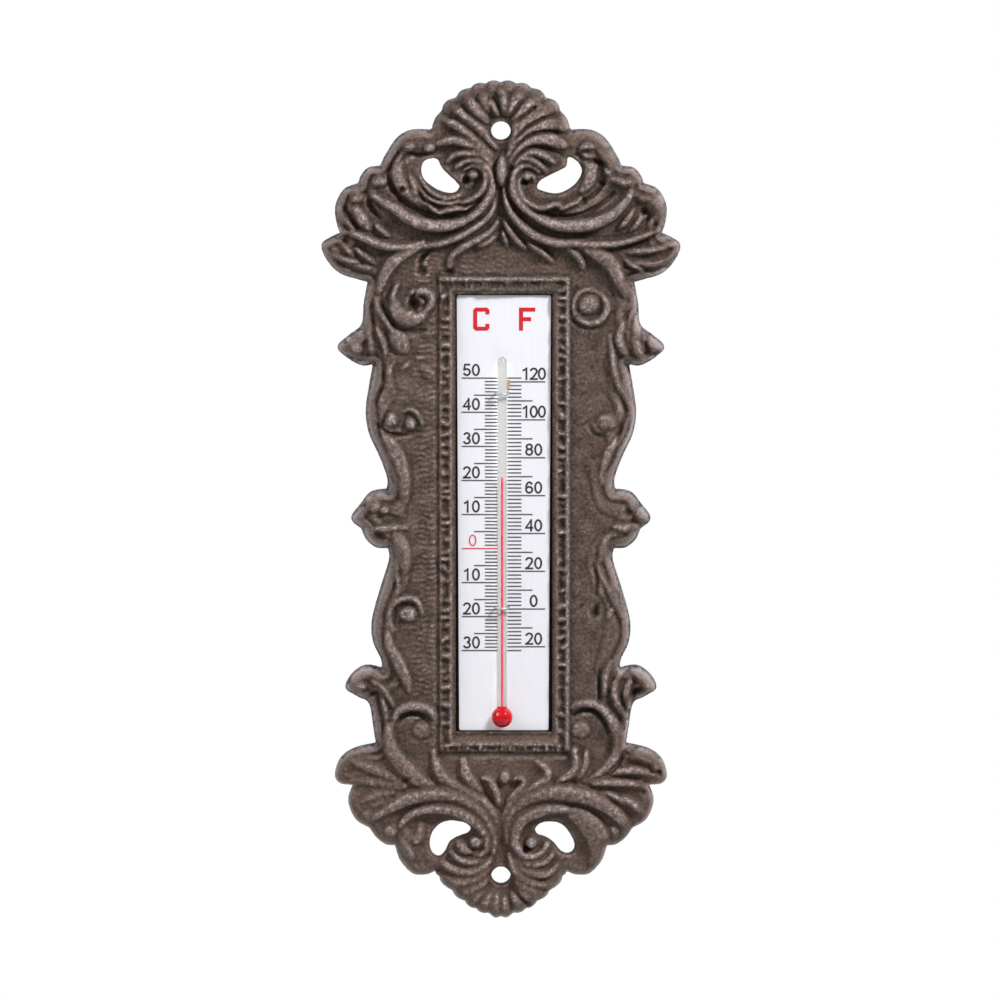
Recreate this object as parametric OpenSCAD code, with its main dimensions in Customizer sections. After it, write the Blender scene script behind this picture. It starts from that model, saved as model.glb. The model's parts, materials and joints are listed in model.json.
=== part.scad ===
// Wall thermometer: an iron casting with a printed plate and a spirit tube in its window.
// Front faces -Y, the wall plane is y = 0, and the origin is the upper screw hole on that plane.

/* [Scale plate] */
// Width of the plate at its upper edge
plate_w = 31.2; // [30:0.1:34]
// How much narrower the plate is at its lower edge
plate_taper = 1.4; // [0:0.1:2]
// Length of the plate
plate_l = 145.6; // [140:0.1:156]
// Thickness of the plate
plate_t = 0.8; // [0.5:0.1:1.2]
// Radius of the plate's corners
plate_corner_r = 0.6; // [0.3:0.1:2]
// How far the window's centre lies to the right of the screw holes
window_shift = 1; // [0:0.1:2]

/* [Casting] */
// From the upper screw hole down to the plate's upper edge
crest_drop = 54.6; // [52:0.2:60]
// From the plate's lower edge down to the lower screw hole
foot_drop = 49; // [46:0.2:54]
// Diameter of both screw holes
screw_d = 6.5; // [5:0.1:7]
// Diameter of the flat land round each screw hole
land_d = 9.6; // [8.6:0.1:11]
// Height of the flat lands above the wall
land_h = 6.8; // [6.6:0.1:7.6]
// Height of the highest scroll above the wall
cast_depth = 12; // [11:0.1:14]
// Height of the casting's upright side wall
edge_h = 2.6; // [2:0.1:3.6]
// Height of the peened field above the wall
field_h = 6; // [5.4:0.1:6.4]
// Height of the raised rim above the wall
rim_h = 8; // [7.2:0.1:9]
// Width of the raised rim
rim_w = 2.4; // [2:0.1:3]
// Set-back of the rim from the side wall
edge_step = 1.4; // [0.6:0.1:1.6]
// Width of the foot that the casting stands on, all round its hollow back
foot_w = 2.9; // [2.4:0.1:3.4]
// Depth of the hollow in the back
hollow_depth = 2; // [1:0.1:3]
// Width of the solid border of the back round the pocket
back_border = 3; // [2:0.5:6]
// Thickness of the web behind the plate
web_t = 2.4; // [2:0.1:3]
// Clearance between the plate and the sides of its pocket
plate_gap = 0.5; // [0.3:0.1:0.8]
// Width of the sloping border round the pocket
bevel_w = 1.8; // [1.2:0.1:2.4]
// Width of the sloping sill below the pocket
sill_w = 4.3; // [3:0.1:4.8]
// Width of the beaded moulding round the window
bead_w = 4.1; // [3:0.1:5]
// Height of the beaded moulding above the wall
bead_h = 7.5; // [7:0.1:8.5]

/* [Mounting of the plate] */
// Thickness of the adhesive pads
pad_t = 1.4; // [1:0.1:1.8]
// Width of the adhesive pads
pad_w = 24; // [18:1:27]
// Length of the adhesive pads
pad_l = 20; // [14:1:24]
// From each end of the plate to its pad
pad_inset = 8; // [4:0.5:12]

/* [Scale] */
// From the plate's upper edge down to the 50 degree line
scale_drop = 27.6; // [26:0.1:29]
// Length of one Celsius degree on the scale
degree_l = 1.14; // [1.08:0.01:1.18]
// Celsius reading at rest
reading = 21; // [-25:1:45]
// Height of the figures
digit_h = 3.95; // [3.4:0.05:4.2]
// Width of the figures
digit_w = 2.5; // [2.2:0.05:2.6]
// Thickness of the figures' strokes
digit_stroke = 0.45; // [0.35:0.05:0.6]
// Thickness of the short scale lines
tick_t = 0.42; // [0.3:0.02:0.5]
// Thickness of the print
ink_t = 0.08; // [0.05:0.01:0.1]
// Height of the unit letters
letter_h = 7.7; // [6:0.1:9]
// Thickness of the unit letters' strokes
letter_stroke = 1.35; // [1:0.05:1.6]

/* [Glass tube] */
// Diameter of the stem
glass_d = 3.1; // [2.8:0.1:3.4]
// Diameter of the bore
bore_d = 0.7; // [0.6:0.05:1]
// Diameter of the bulb
bulb_d = 7; // [6.4:0.1:7.2]
// Thickness of the bulb's wall
bulb_wall = 0.5; // [0.4:0.05:0.7]
// From the plate's lower edge up to the bulb's centre
bulb_rise = 4.6; // [4:0.1:6]
// From the plate's upper edge down to the stem's end
stem_drop = 20.4; // [16:0.1:24]
// How far the tube lies to the left of the plate's centre
tube_shift = 0.6; // [0:0.1:1]
// Clearance between the spirit and the glass
spirit_gap = 0.08; // [0.05:0.01:0.1]

/* [Clips] */
// Diameter of the clips' wire
wire_d = 0.8; // [0.6:0.05:1]
// From the plate's upper edge down to the upper clip
upper_clip_drop = 32.6; // [30:0.1:36]
// From the plate's lower edge up to the lower clip
lower_clip_rise = 41.3; // [34:0.1:46]
// How far a clip's legs reach behind the plate
leg_reach = 0.9; // [0.6:0.1:1.1]

/* [Hidden] */

$fn = 48;
// Small overlap that makes cuts and joins clean
nip = 0.2;
// Clearance between the glass and what holds it
seat_gap = 0.05;
// Clearance round the clips' legs in the plate
leg_gap = 0.15;
// Clearance round the bulb in the plate
bulb_gap = 0.25;
// Solid glass above the bore
sealed_l = 1;
// Gap between the spirit in the bulb and the thread
thread_gap = 0.01;
// Length of the thread's upper end, which is a piece of its own
surface_l = 5;
// How far a ridge or boss is rooted below the field
root_depth = 1.2;
// Share of a ridge's width that its crown takes
crown = 0.36;
// Share of a ridge's length at which it starts to rise
run_in = 0.08;
// How far a ridge's ends dip below the field
end_dip = 0.3;
// Share of the rim's width at which it is highest
rim_crest = 0.4;
// How much the hollow back narrows towards its floor
hollow_draft = 0.4;
// Steps between the points of the outline
outline_steps = 1;

plate_back = web_t + pad_t;
plate_front = plate_back + plate_t;
plate_top = -crest_drop;
plate_bottom = plate_top - plate_l;
lower_hole = plate_bottom - foot_drop;
pocket_w = plate_w + 2 * plate_gap;
pocket_l = plate_l + 2 * plate_gap;
border_w = plate_gap + bevel_w + bead_w;
tube_x = window_shift - tube_shift;
tube_d = plate_front + seat_gap + glass_d / 2;
bulb_z = plate_bottom + bulb_rise;
stem_top = plate_top - stem_drop;
scale_top = plate_top - scale_drop;
spirit_d = bore_d - 2 * spirit_gap;
spirit_ball_r = bulb_d / 2 - bulb_wall - spirit_gap;
hottest = 50;
coldest = -30;
surface_z = degree_z(reading);

function degree_z(celsius) = scale_top - (hottest - celsius) * degree_l;
function fahrenheit_z(f) = degree_z((f - 32) / 1.8);

// Setting out of the casting.
// Its scrolls are drawn in millimetres round a window of the size below, as [across, up] from the
// upper screw hole. They follow the real window when it is wider, longer or further down.
set_border = 22;
set_crest = 54.8;
set_length = 144.5;
// From the lower screw hole down to the foot's tip, in the drawing as on the casting
tip_drop = 14.9;

border_half = plate_w / 2 + border_w;
function across(x) = x + sign(x) * (border_half - set_border) * min(1, abs(x) / set_border);
function up(z) =
    z > 0 ? z
    : z > -set_crest ? z * crest_drop / set_crest
    : z > -set_crest - set_length ? plate_top + (z + set_crest) * plate_l / set_length
    : z > -set_crest - set_length - set_foot
        ? plate_bottom + (z + set_crest + set_length) * foot_drop / set_foot
    : lower_hole + z + set_crest + set_length + set_foot;
function at(points) = [for (p = points) [across(p[0]), up(p[1])]];

// Smooth curve through points, with the given number of steps from each to the next
function bend(a, b, c, d, t) =
    0.5 * (2 * b + (c - a) * t + (2 * a - 5 * b + 4 * c - d) * t * t + (3 * b - a - 3 * c + d) * t * t * t);
function curve(points, steps) = let (last = len(points) - 1) [
    for (i = [0:last - 1], s = [0:steps - 1])
        bend(points[max(0, i - 1)], points[i], points[i + 1], points[min(last, i + 2)], s / steps),
    points[last]
];

// Lobes of the right-hand outline, from the top of the crest to the foot's tip
lobes = [
    [[0, 16.5], [4, 16.2], [8.7, 15.2]],
    [[8.7, 15.2], [12.8, 13.2], [15.6, 11]],
    [[15.6, 11], [18.6, 9], [21, 5.2], [23.6, 0.2]],
    [[23.6, 0.2], [28.5, 0.4], [34, -2.2], [38.2, -8.2], [40, -12]],
    [[40, -12], [44, -12.6], [46.4, -15.3], [47.2, -17.7]],
    [[47.2, -17.7], [52, -19.8], [54.8, -25], [54.6, -30], [53.3, -34.3]],
    [[53.3, -34.3], [56.7, -35.9], [59.5, -38.4], [57.5, -43.5], [53.3, -47.7], [47, -49.8], [44.2, -50.6]],
    [[44.2, -50.6], [45.5, -57.5], [46.3, -64.8], [50.5, -68.4], [54.2, -72], [51.5, -75.3], [46.3, -78.2],
        [42.5, -77.8]],
    [[42.5, -77.8], [43.7, -84.5], [44.9, -93], [43.9, -100.5], [40.2, -108.8], [37.8, -115.5], [38, -119.3]],
    [[38, -119.3], [43.2, -120.3], [46.6, -124.2], [49.8, -129], [46.4, -132.4]],
    [[46.4, -132.4], [44.9, -135.8], [41.6, -138.6], [37.6, -138.9]],
    [[37.6, -138.9], [37.3, -143], [40.4, -153], [43, -163], [42.6, -170], [40.1, -175.5], [39.5, -179]],
    [[39.5, -179], [45, -178], [49.5, -180.8], [51.8, -185.4], [47.7, -188.4], [44, -190.7], [42.6, -198.4],
        [41.7, -204]],
    [[41.7, -204], [49, -205.8], [53.6, -209.2], [55.4, -214.5], [53.6, -217.3], [49.3, -217.8]],
    [[49.3, -217.8], [51, -223], [48.6, -229.2], [43.8, -232.3]],
    [[43.8, -232.3], [41.6, -235.4], [38.5, -237.7], [35.4, -238]],
    [[35.4, -238], [33.6, -243.2], [29.5, -247.5], [25.5, -248], [22, -246.7]],
    [[22, -246.7], [20, -250.3], [16, -254.3]],
    [[16, -254.3], [12.5, -257.2], [8.9, -259.7]],
    [[8.9, -259.7], [5.6, -261], [3.4, -261.6]],
    [[3.4, -261.6], [2, -262.4], [0, -262.7]]
];
last_lobe = lobes[len(lobes) - 1];
set_foot = -last_lobe[len(last_lobe) - 1][1] - tip_drop - set_crest - set_length;

// Openwork of the right-hand side, as closed outlines
crest_opening = [[22.8, -9.2], [26, -13], [26, -16.5], [22.8, -19.6], [17.5, -21], [13, -19.8], [12.6, -17.2],
    [16.5, -14.6], [20, -12.4]];
foot_opening = [[12, -231], [15.5, -229.7], [20, -230.2], [23.8, -234.6], [24.2, -239], [21, -241.2],
    [18, -238.5], [15, -234]];

// Ridges of the right-hand side: [half width, height above the wall, points]
crest_ridges = [
    [0.8, 8.6, [[2.4, 11.5], [1.5, 5.6]]],
    [1.3, 9.6, [[10.3, 11.5], [7, 8.5], [4.2, 4.5]]],
    [1.4, 9.8, [[16, 8], [12, 5.3], [8, 2.3], [5.2, 0]]],
    [1.4, 9.9, [[20.8, 3], [15, 1.3], [10, -1], [6.5, -3], [4.2, -5.5]]],
    [1.3, 10, [[21.8, -4], [17, -2.8], [12.5, -3], [8.3, -4.5], [5, -6.8], [3, -10]]],
    [1, 10, [[17.7, -8.5], [14.5, -6.8], [10.5, -6.7], [6.8, -8], [4, -10.5], [2.5, -14]]],
    [0.9, 10.2, [[14.5, -12.4], [12.6, -10.2], [9.5, -9.2], [6.3, -10.8], [4.6, -13.5], [4, -17], [4.9, -21.5],
        [8, -25.8], [13, -29], [18.5, -30.6]]],
    [1.7, 10.8, [[9.5, -27.6], [13.5, -29.8], [18.5, -31.2], [23.5, -31.2], [28.5, -29.9], [33.3, -27.3],
        [37.6, -24.3], [42, -21.7]]],
    [1.5, 10.2, [[2, -17], [2.6, -22.5], [4.7, -27.6], [8.2, -31.5], [13.5, -34.4], [20, -36.2], [27, -37],
        [34, -37], [41, -35.9], [47, -34], [51.5, -32.6]]],
    [1.5, 9.6, [[27.5, -37.5], [32, -39.2], [35.6, -42], [37.9, -45.7], [39, -49.8], [39.4, -53.5]]],
    [1.2, 9.2, [[15.5, -35.8], [20.5, -38.6], [24.3, -42], [26.2, -45.6]]],
    [1, 8.8, [[6.8, -32.4], [11.8, -36.2], [15.9, -40], [17.8, -43.4]]],
    [0.7, 8.4, [[2.9, -29.6], [5.5, -34.3], [8.6, -38.4]]],
    [0.9, 8.6, [[35.5, -5.6], [36.6, -9.8], [36.2, -14], [34.6, -17]]],
    [1.1, 9, [[29.8, -13.5], [30.6, -17.5], [29, -22]]],
    [0.9, 8.4, [[52.2, -24.5], [51, -29], [47.7, -32]]],
    [1, 8.8, [[47, -26.6], [44.8, -30.6], [42, -33.4]]],
    [1, 8.6, [[56.6, -38.9], [50.5, -42.3], [43.2, -45]]],
    [0.9, 8.4, [[47.4, -38.6], [43.6, -41.6], [41.2, -45.4]]],
    [1.5, 9, [[36.3, -51.6], [36.9, -56.4], [35.2, -61], [31, -63.8], [26.3, -62.8], [23.4, -58.9],
        [23.8, -54.4], [27, -51.9], [31, -52.6]]],
    [0.9, 8.2, [[41.6, -55.5], [40, -60], [37.2, -64], [34, -68.6]]],
    [1.6, 8.6, [[35.6, -67], [33.2, -71], [31.2, -75]]]
];
rail_ridges = [
    [1.3, 8, [[38.4, -101], [35.7, -104.4], [33.4, -109], [31.9, -114], [31.4, -119.6]]],
    [0.9, 8, [[44.6, -130.6], [38, -131.6], [33.4, -130.6]]],
    [1.2, 8.2, [[35.4, -132.6], [33.1, -136.4], [31.8, -140.6], [31.7, -146.2]]],
    [1, 8, [[36.6, -159], [34.4, -156.3], [31, -155.2], [28, -156.8], [26.4, -161]]],
    [1.2, 8, [[37, -166.8], [35, -172.8], [33, -178.8], [31.2, -184.2]]],
    [1.1, 8.2, [[43, -181.6], [39, -184.6], [37, -189], [38, -193.4], [40.2, -197.4]]]
];
foot_ridges = [
    [1.4, 9, [[21.6, -196.4], [22.8, -193.4], [26, -191.2], [30, -191], [33.4, -192.8], [36.2, -196.4],
        [38.2, -200.6], [38.6, -205]]],
    [1.6, 9.6, [[36, -205.4], [33.4, -209.6], [29.6, -213], [25.2, -216.3], [21.2, -218.6]]],
    [1.5, 9.8, [[22.3, -206.6], [21, -211], [18.2, -214.9], [14.2, -218], [9.6, -221], [5.4, -225],
        [2.8, -229.5], [1.4, -235], [1.2, -240.5]]],
    [1.1, 9, [[13, -210.4], [12.4, -214], [8.6, -218.6], [4.6, -222.6]]],
    [0.9, 8.8, [[6.2, -215.4], [3.9, -217.2], [1.6, -221.6]]],
    [1.3, 9.2, [[47, -211.4], [41.6, -213.6], [35, -216.4], [28, -218.4]]],
    [1.2, 9, [[47.4, -224.6], [43, -221.6], [37, -220], [31, -219.4]]],
    [1.7, 10.6, [[41.6, -229.6], [38.4, -226.2], [33.4, -223.2], [27.4, -221.2], [20.4, -220.8], [14, -222.4],
        [8.8, -225.8], [5.2, -230.4], [3.6, -236]]],
    [1.6, 10.2, [[35, -240.4], [33.8, -235.4], [31, -230.8], [26.6, -227.2], [20.8, -225.6], [14.8, -226.2],
        [9.6, -228.8], [6.2, -232.6], [5, -237], [6, -241], [9, -243.6], [12.6, -244], [15.6, -242.6]]],
    [1, 9.4, [[15.2, -237.6], [12.6, -240.4], [9.2, -240], [7.6, -236.8], [9.2, -233.6]]],
    [1.2, 9, [[31.6, -229.8], [32.4, -234], [31, -238.4], [28.8, -241.6]]],
    [1.1, 9.2, [[18.6, -245.4], [14.8, -247.6], [10.4, -247.2], [6.6, -244.4], [4.4, -241.6]]],
    [1.1, 9.2, [[17.6, -250.6], [13.2, -251], [8.8, -248.8], [5.6, -245.6]]],
    [1.1, 9.2, [[13.2, -255.2], [9.6, -253.6], [6.8, -250.4], [5, -247.2]]],
    [1.1, 9.2, [[8.8, -257.9], [6.4, -255.4], [4.6, -251.6]]],
    [1, 9, [[3.8, -259.6], [2.6, -256.4], [2.1, -252.4]]]
];

// Round bosses of the right-hand side: [radius, height above the wall, centre]
bosses = [
    [2.1, 9.8, [8.3, -15]],
    [2.1, 8.8, [41.2, -17.3]],
    [2.2, 8.8, [49, -22.4]],
    [3.3, 8.4, [29.6, -57.5]],
    [2.8, 8.6, [48.6, -72]],
    [3, 8, [35.8, -96.6]],
    [2.6, 8, [29.8, -97]],
    [2.6, 8.6, [41.4, -125.4]],
    [3.1, 8.2, [31, -160.4]],
    [2.7, 8.8, [46.4, -184]],
    [2.8, 8.8, [27.4, -199]],
    [2.5, 10, [9.6, -236.4]],
    [2.3, 8.8, [37, -232.4]],
    [2.4, 9, [28.6, -243.4]]
];
// The highest boss, on the middle line: [radius, centre]
centre_boss = [2, [0, -12]];

// Turned a quarter: from the drawing, with its height along Z, to the wall
module hang() {
    rotate([90, 0, 0]) children();
}

module both_sides() {
    children();
    mirror([1, 0, 0]) children();
}

// The whole outline, down the right-hand side and back up the left
function outline() = let (
    right = [for (lobe = lobes) each curve(at(lobe), outline_steps)],
    clean = [for (i = [0:len(right) - 1]) if (i == 0 || norm(right[i] - right[i - 1]) > 0.01) right[i]]
) concat(clean, [for (i = [len(clean) - 2:-1:1]) [-clean[i][0], clean[i][1]]]);

// Points moved inwards by a distance, square to their neighbours
function inset(points, distance) = let (n = len(points)) [for (i = [0:n - 1]) let (
    before = points[(i + n - 1) % n],
    after = points[(i + 1) % n],
    h = after - before
) points[i] + [h[1], -h[0]] / norm(h) * distance];

// Stack of rings with the same number of points, closed at both ends
module loft(rings) {
    n = len(rings[0]);
    last = len(rings) - 1;
    walls = [for (j = [0:last - 1], k = [0:n - 1]) let (m = (k + 1) % n)
        each [[j * n + k, j * n + m, (j + 1) * n + m], [j * n + k, (j + 1) * n + m, (j + 1) * n + k]]];
    ends = [[for (k = [n - 1:-1:0]) k], [for (k = [0:n - 1]) last * n + k]];
    polyhedron([for (r = rings) each r], concat(walls, ends));
}

// The outline moved inwards, at a height above the wall
function ring(distance, height) = [for (p = inset(outline(), distance)) [p[0], p[1], height]];

module body() {
    loft([ring(0, 0), ring(0, edge_h), ring(edge_step, rim_h - edge_step),
        ring(edge_step + rim_w * rim_crest, rim_h), ring(edge_step + rim_w, field_h)]);
}

// Hollow in the back, clear of the foot, the pocket's box and the screw holes' pillars
module back_hollow() {
    box_w = pocket_w + 2 * back_border;
    box_l = pocket_l + 2 * back_border;
    difference() {
        loft([ring(foot_w, -nip), ring(foot_w + hollow_draft, hollow_depth)]);
        translate([window_shift - box_w / 2, plate_bottom - plate_gap - back_border, -2 * nip])
            cube([box_w, box_l, hollow_depth + 3 * nip]);
        for (z = [0, lower_hole]) translate([0, z, -2 * nip]) cylinder(d = land_d, h = hollow_depth + 3 * nip);
    }
}

// A ridge that follows points, rises to its height and runs out at both ends
module ridge(half_w, height, points) {
    path = curve(points, len(points) > 3 ? 1 : 2);
    last = len(path) - 1;
    root = field_h - root_depth;
    low_end = field_h - end_dip;
    function heading(i) = path[min(last, i + 1)] - path[max(0, i - 1)];
    function side(i) = let (h = heading(i)) [-h[1], h[0]] / norm(h);
    function swell(i) = sqrt(sin(180 * (run_in + (1 - 2 * run_in) * i / last)));
    rings = [for (i = [0:last]) let (
        c = path[i],
        n = side(i) * half_w * swell(i),
        top = low_end + (height - low_end) * swell(i)
    ) each [
        [c[0] - n[0], c[1] - n[1], root],
        [c[0] - crown * n[0], c[1] - crown * n[1], top],
        [c[0] + crown * n[0], c[1] + crown * n[1], top],
        [c[0] + n[0], c[1] + n[1], root]
    ]];
    sides = 4;
    walls = [for (i = [0:last - 1], k = [0:sides - 1]) let (m = (k + 1) % sides)
        each [[i * sides + k, i * sides + m, (i + 1) * sides + m],
            [i * sides + k, (i + 1) * sides + m, (i + 1) * sides + k]]];
    ends = [[for (k = [sides - 1:-1:0]) k], [for (k = [0:sides - 1]) last * sides + k]];
    polyhedron(rings, concat(walls, ends));
}

module boss(radius, height, centre) {
    root = field_h - root_depth;
    translate([centre[0], centre[1], root]) rotate_extrude($fn = 8)
        polygon(concat([[0, 0]], arc(0, 0, radius, height - root, 0, 90, 3)));
}

// Flat bar frame round the window, from the pocket's edge outwards
module window_border(inner, outer, height) {
    translate([window_shift, (plate_top + plate_bottom) / 2, 0]) linear_extrude(height) difference() {
        square([plate_w + 2 * outer, plate_l + 2 * outer], center = true);
        square([plate_w + 2 * inner, plate_l + 2 * inner], center = true);
    }
}

module relief() {
    difference() {
        union() {
            body();
            both_sides() {
                for (r = concat(crest_ridges, rail_ridges, foot_ridges)) ridge(r[0], r[1], at(r[2]));
                for (b = bosses) boss(b[0], b[1], at([b[2]])[0]);
            }
            boss(centre_boss[0], cast_depth, at([centre_boss[1]])[0]);
            window_border(plate_gap, border_w, bead_h);
            for (z = [0, lower_hole]) translate([0, z, hollow_depth])
                cylinder(d = land_d, h = land_h - hollow_depth + nip);
        }
        both_sides() for (hole = [crest_opening, foot_opening])
            translate([0, 0, -nip]) linear_extrude(cast_depth + 2 * nip) polygon(at(hole));
        back_hollow();
    }
}

// Sloping cut from the pocket's mouth out to the beaded moulding
module window_slope() {
    low = plate_front + nip;
    function mouth(grow, sill, height) = let (w = plate_w / 2 + grow, l = plate_l / 2)
        [[-w, -l - sill, height], [w, -l - sill, height], [w, l + grow, height], [-w, l + grow, height]];
    translate([window_shift, (plate_top + plate_bottom) / 2, 0])
        polyhedron(
            concat(mouth(plate_gap, plate_gap, low),
                mouth(plate_gap + bevel_w, plate_gap + sill_w, bead_h + nip)),
            [[0, 1, 2, 3], [7, 6, 5, 4], [0, 4, 5, 1], [1, 5, 6, 2], [2, 6, 7, 3], [3, 7, 4, 0]]
        );
}

// A screw hole through the casting, and the flat land that it opens on
module screw_hole(z) {
    translate([0, nip, z]) rotate([90, 0, 0]) cylinder(d = screw_d, h = cast_depth + 2 * nip);
    translate([0, -land_h, z]) rotate([90, 0, 0]) cylinder(d = land_d + 2 * nip, h = cast_depth);
}

module cast_frame() {
    color("#65554f") difference() {
        resize([0, cast_depth, 0]) hang() relief();
        translate([window_shift - pocket_w / 2, -cast_depth - nip, plate_bottom - plate_gap])
            cube([pocket_w, cast_depth + nip - web_t, pocket_l]);
        hang() window_slope();
        screw_hole(0);
        screw_hole(lower_hole);
    }
}

// A flat shape, drawn from the middle of the plate's upper edge, stood at a depth in front of the wall
module stand(depth, thickness) {
    translate([window_shift, -depth, plate_top]) hang() linear_extrude(thickness) children();
}

module plate_shape() {
    w = plate_w / 2;
    narrow = w - plate_taper / 2;
    r = plate_corner_r;
    function corner(x, y, from) = arc(x, y, r, r, from, from + 90, 4);
    polygon(concat(corner(w - r, -r, 0), corner(-w + r, -r, 90), corner(-narrow + r, -plate_l + r, 180),
        corner(narrow - r, -plate_l + r, 270)));
}

clip_r = glass_d / 2 + seat_gap + wire_d / 2;
clip_drops = [upper_clip_drop, plate_l - lower_clip_rise];

// Holes for the clips' legs, through the plate and its print
module leg_holes() {
    for (drop = clip_drops, s = [-1, 1])
        translate([tube_x + s * clip_r, -plate_back + nip, plate_top - drop]) rotate([90, 0, 0])
            cylinder(d = wire_d + 2 * leg_gap, h = plate_t + ink_t + 2 * nip, $fn = 24);
}

module scale_plate() {
    bulb_rise_over_plate = tube_d - plate_front;
    bulb_hole_r = sqrt(pow(bulb_d / 2, 2) - pow(bulb_rise_over_plate, 2)) + bulb_gap;
    color("#f2f2f6") difference() {
        stand(plate_back, plate_t) plate_shape();
        leg_holes();
        translate([tube_x, -plate_back + nip, bulb_z]) rotate([90, 0, 0])
            cylinder(r = bulb_hole_r, h = plate_t + 2 * nip);
    }
}

module pad(z) {
    translate([window_shift - pad_w / 2, -plate_back, z]) cube([pad_w, pad_t, pad_l]);
}

module upper_pad() {
    color("#d9d4c6") pad(plate_top - pad_inset - pad_l);
}

module lower_pad() {
    color("#d9d4c6") pad(plate_bottom + bulb_rise + pad_inset);
}

// Places of the print, measured from the plate's middle
celsius_end = -2.2;
celsius_starts = [-6.3, -9.9, 1.6 - plate_w / 2];
fahrenheit_start = 1.2;
fahrenheit_ends = [5.8, 9.5, plate_w / 2 - 1.9];
figure_rise = 0.75;
figure_gap = 0.5;
celsius_figures_margin = 4.8;
celsius_figures_x = celsius_figures_margin - plate_w / 2;
fahrenheit_figures_margin = 5.7;
fahrenheit_figures_x = plate_w / 2 - fahrenheit_figures_margin;
zero_offset = 0.4;
letter_drop = 4.1;
letter_w = 5.4;
celsius_letter_x = -10.2;
fahrenheit_letter_x = 5;

// Which of three lengths a line has: 0 short, 1 middle, 2 long
function rank(value, long, middle) = value % long == 0 ? 2 : value % middle == 0 ? 1 : 0;

module line_at(z, x0, x1, thickness) {
    translate([x0, z - plate_top - thickness / 2]) square([x1 - x0, thickness]);
}

module celsius_lines() {
    color("#3c3c42") difference() {
        stand(plate_front, ink_t) for (c = [coldest:hottest]) if (c != 0)
            line_at(degree_z(c), celsius_starts[rank(c, 10, 5)], celsius_end, tick_t);
        leg_holes();
    }
}

module fahrenheit_lines() {
    color("#3c3c42") difference() {
        stand(plate_front, ink_t) for (f = [-22:2:122])
            line_at(fahrenheit_z(f), fahrenheit_start, fahrenheit_ends[rank(f, 20, 10)], tick_t);
        leg_holes();
    }
}

// Points on an arc of an ellipse, from one angle to another
function arc(cx, cy, rx, ry, from, to, steps) =
    [for (i = [0:steps]) let (a = from + (to - from) * i / steps) [cx + rx * cos(a), cy + ry * sin(a)]];

// A stroke of even thickness along points
module stroke(points, thickness) {
    last = len(points) - 1;
    function side(i) = let (h = points[min(last, i + 1)] - points[max(0, i - 1)])
        [-h[1], h[0]] / norm(h) * thickness / 2;
    polygon(concat(
        [for (i = [0:last]) points[i] + side(i)],
        [for (i = [last:-1:0]) points[i] - side(i)]
    ));
}

module oval(cx, cy, rx, ry) {
    difference() {
        polygon(arc(cx, cy, rx, ry, 0, 345, 23));
        polygon(arc(cx, cy, rx - digit_stroke, ry - digit_stroke, 0, 345, 23));
    }
}

// One figure in a box of digit_w by digit_h, with its lower left corner at the origin
module figure(n) {
    s = digit_stroke;
    h = s / 2;
    w = digit_w;
    t = digit_h;
    m = w / 2;
    if (n == 0) oval(m, t / 2, m, t / 2);
    if (n == 1) {
        translate([0.6 * w - h, 0]) square([s, t]);
        stroke([[0.6 * w, t - h], [0.42 * w, 0.85 * t], [0.16 * w, 0.76 * t]], s * 0.9);
    }
    if (n == 2) {
        stroke(concat(arc(m, t - 0.29 * t, m - h, 0.29 * t - h, 170, -28, 10), [[0.42 * w, 0.2 * t], [h, h]]), s);
        square([w, s]);
    }
    if (n == 3) {
        stroke(arc(m, 0.74 * t, 0.36 * w, 0.26 * t - h, 160, -80, 10), s);
        stroke(arc(m, 0.28 * t, m - h, 0.28 * t - h, 85, -165, 12), s);
    }
    if (n == 4) {
        translate([0.66 * w, 0]) square([s, t]);
        translate([0, 0.24 * t]) square([w, s]);
        stroke([[0.66 * w + h, t - h], [h, 0.24 * t + h]], s);
    }
    if (n == 5) {
        translate([0.2 * w, t - s]) square([0.72 * w, s]);
        stroke([[0.27 * w, t - h], [0.14 * w, 0.48 * t]], s);
        stroke(arc(m, 0.32 * t, m - h, 0.32 * t - h, 142, -160, 14), s);
    }
    if (n == 6) {
        oval(m, 0.31 * t, m, 0.31 * t);
        stroke(concat(arc(0.52 * w, 0.55 * t, m - h, 0.45 * t - h, 35, 180, 10), [[h, 0.33 * t]]), s);
    }
    if (n == 8) {
        oval(m, 0.74 * t, 0.45 * w, 0.26 * t);
        oval(m, 0.3 * t, m, 0.3 * t);
    }
}

// The figures of one number, centred on x and standing above its line
module number(digits, x, z) {
    step = digit_w + (len(digits) > 2 ? 0.4 : 1) * figure_gap;
    total = step * (len(digits) - 1) + digit_w;
    for (i = [0:len(digits) - 1])
        translate([x - total / 2 + i * step, z - plate_top + figure_rise]) figure(digits[i]);
}

celsius_numbers = [[50, [5, 0]], [40, [4, 0]], [30, [3, 0]], [20, [2, 0]], [10, [1, 0]], [-10, [1, 0]],
    [-20, [2, 0]], [-30, [3, 0]]];
fahrenheit_numbers = [[120, [1, 2, 0]], [100, [1, 0, 0]], [80, [8, 0]], [60, [6, 0]], [40, [4, 0]],
    [20, [2, 0]], [0, [0]], [-20, [2, 0]]];

module celsius_figures() {
    color("#3c3c42") stand(plate_front, ink_t)
        for (c = celsius_numbers) number(c[1], celsius_figures_x, degree_z(c[0]));
}

module fahrenheit_figures() {
    color("#3c3c42") stand(plate_front, ink_t)
        for (f = fahrenheit_numbers) number(f[1], fahrenheit_figures_x, fahrenheit_z(f[0]));
}

module zero_mark() {
    color("#e2182c") stand(plate_front, ink_t) {
        line_at(degree_z(0), celsius_starts[2], celsius_end, tick_t);
        number([0], celsius_figures_x + zero_offset, degree_z(0));
    }
}

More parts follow.
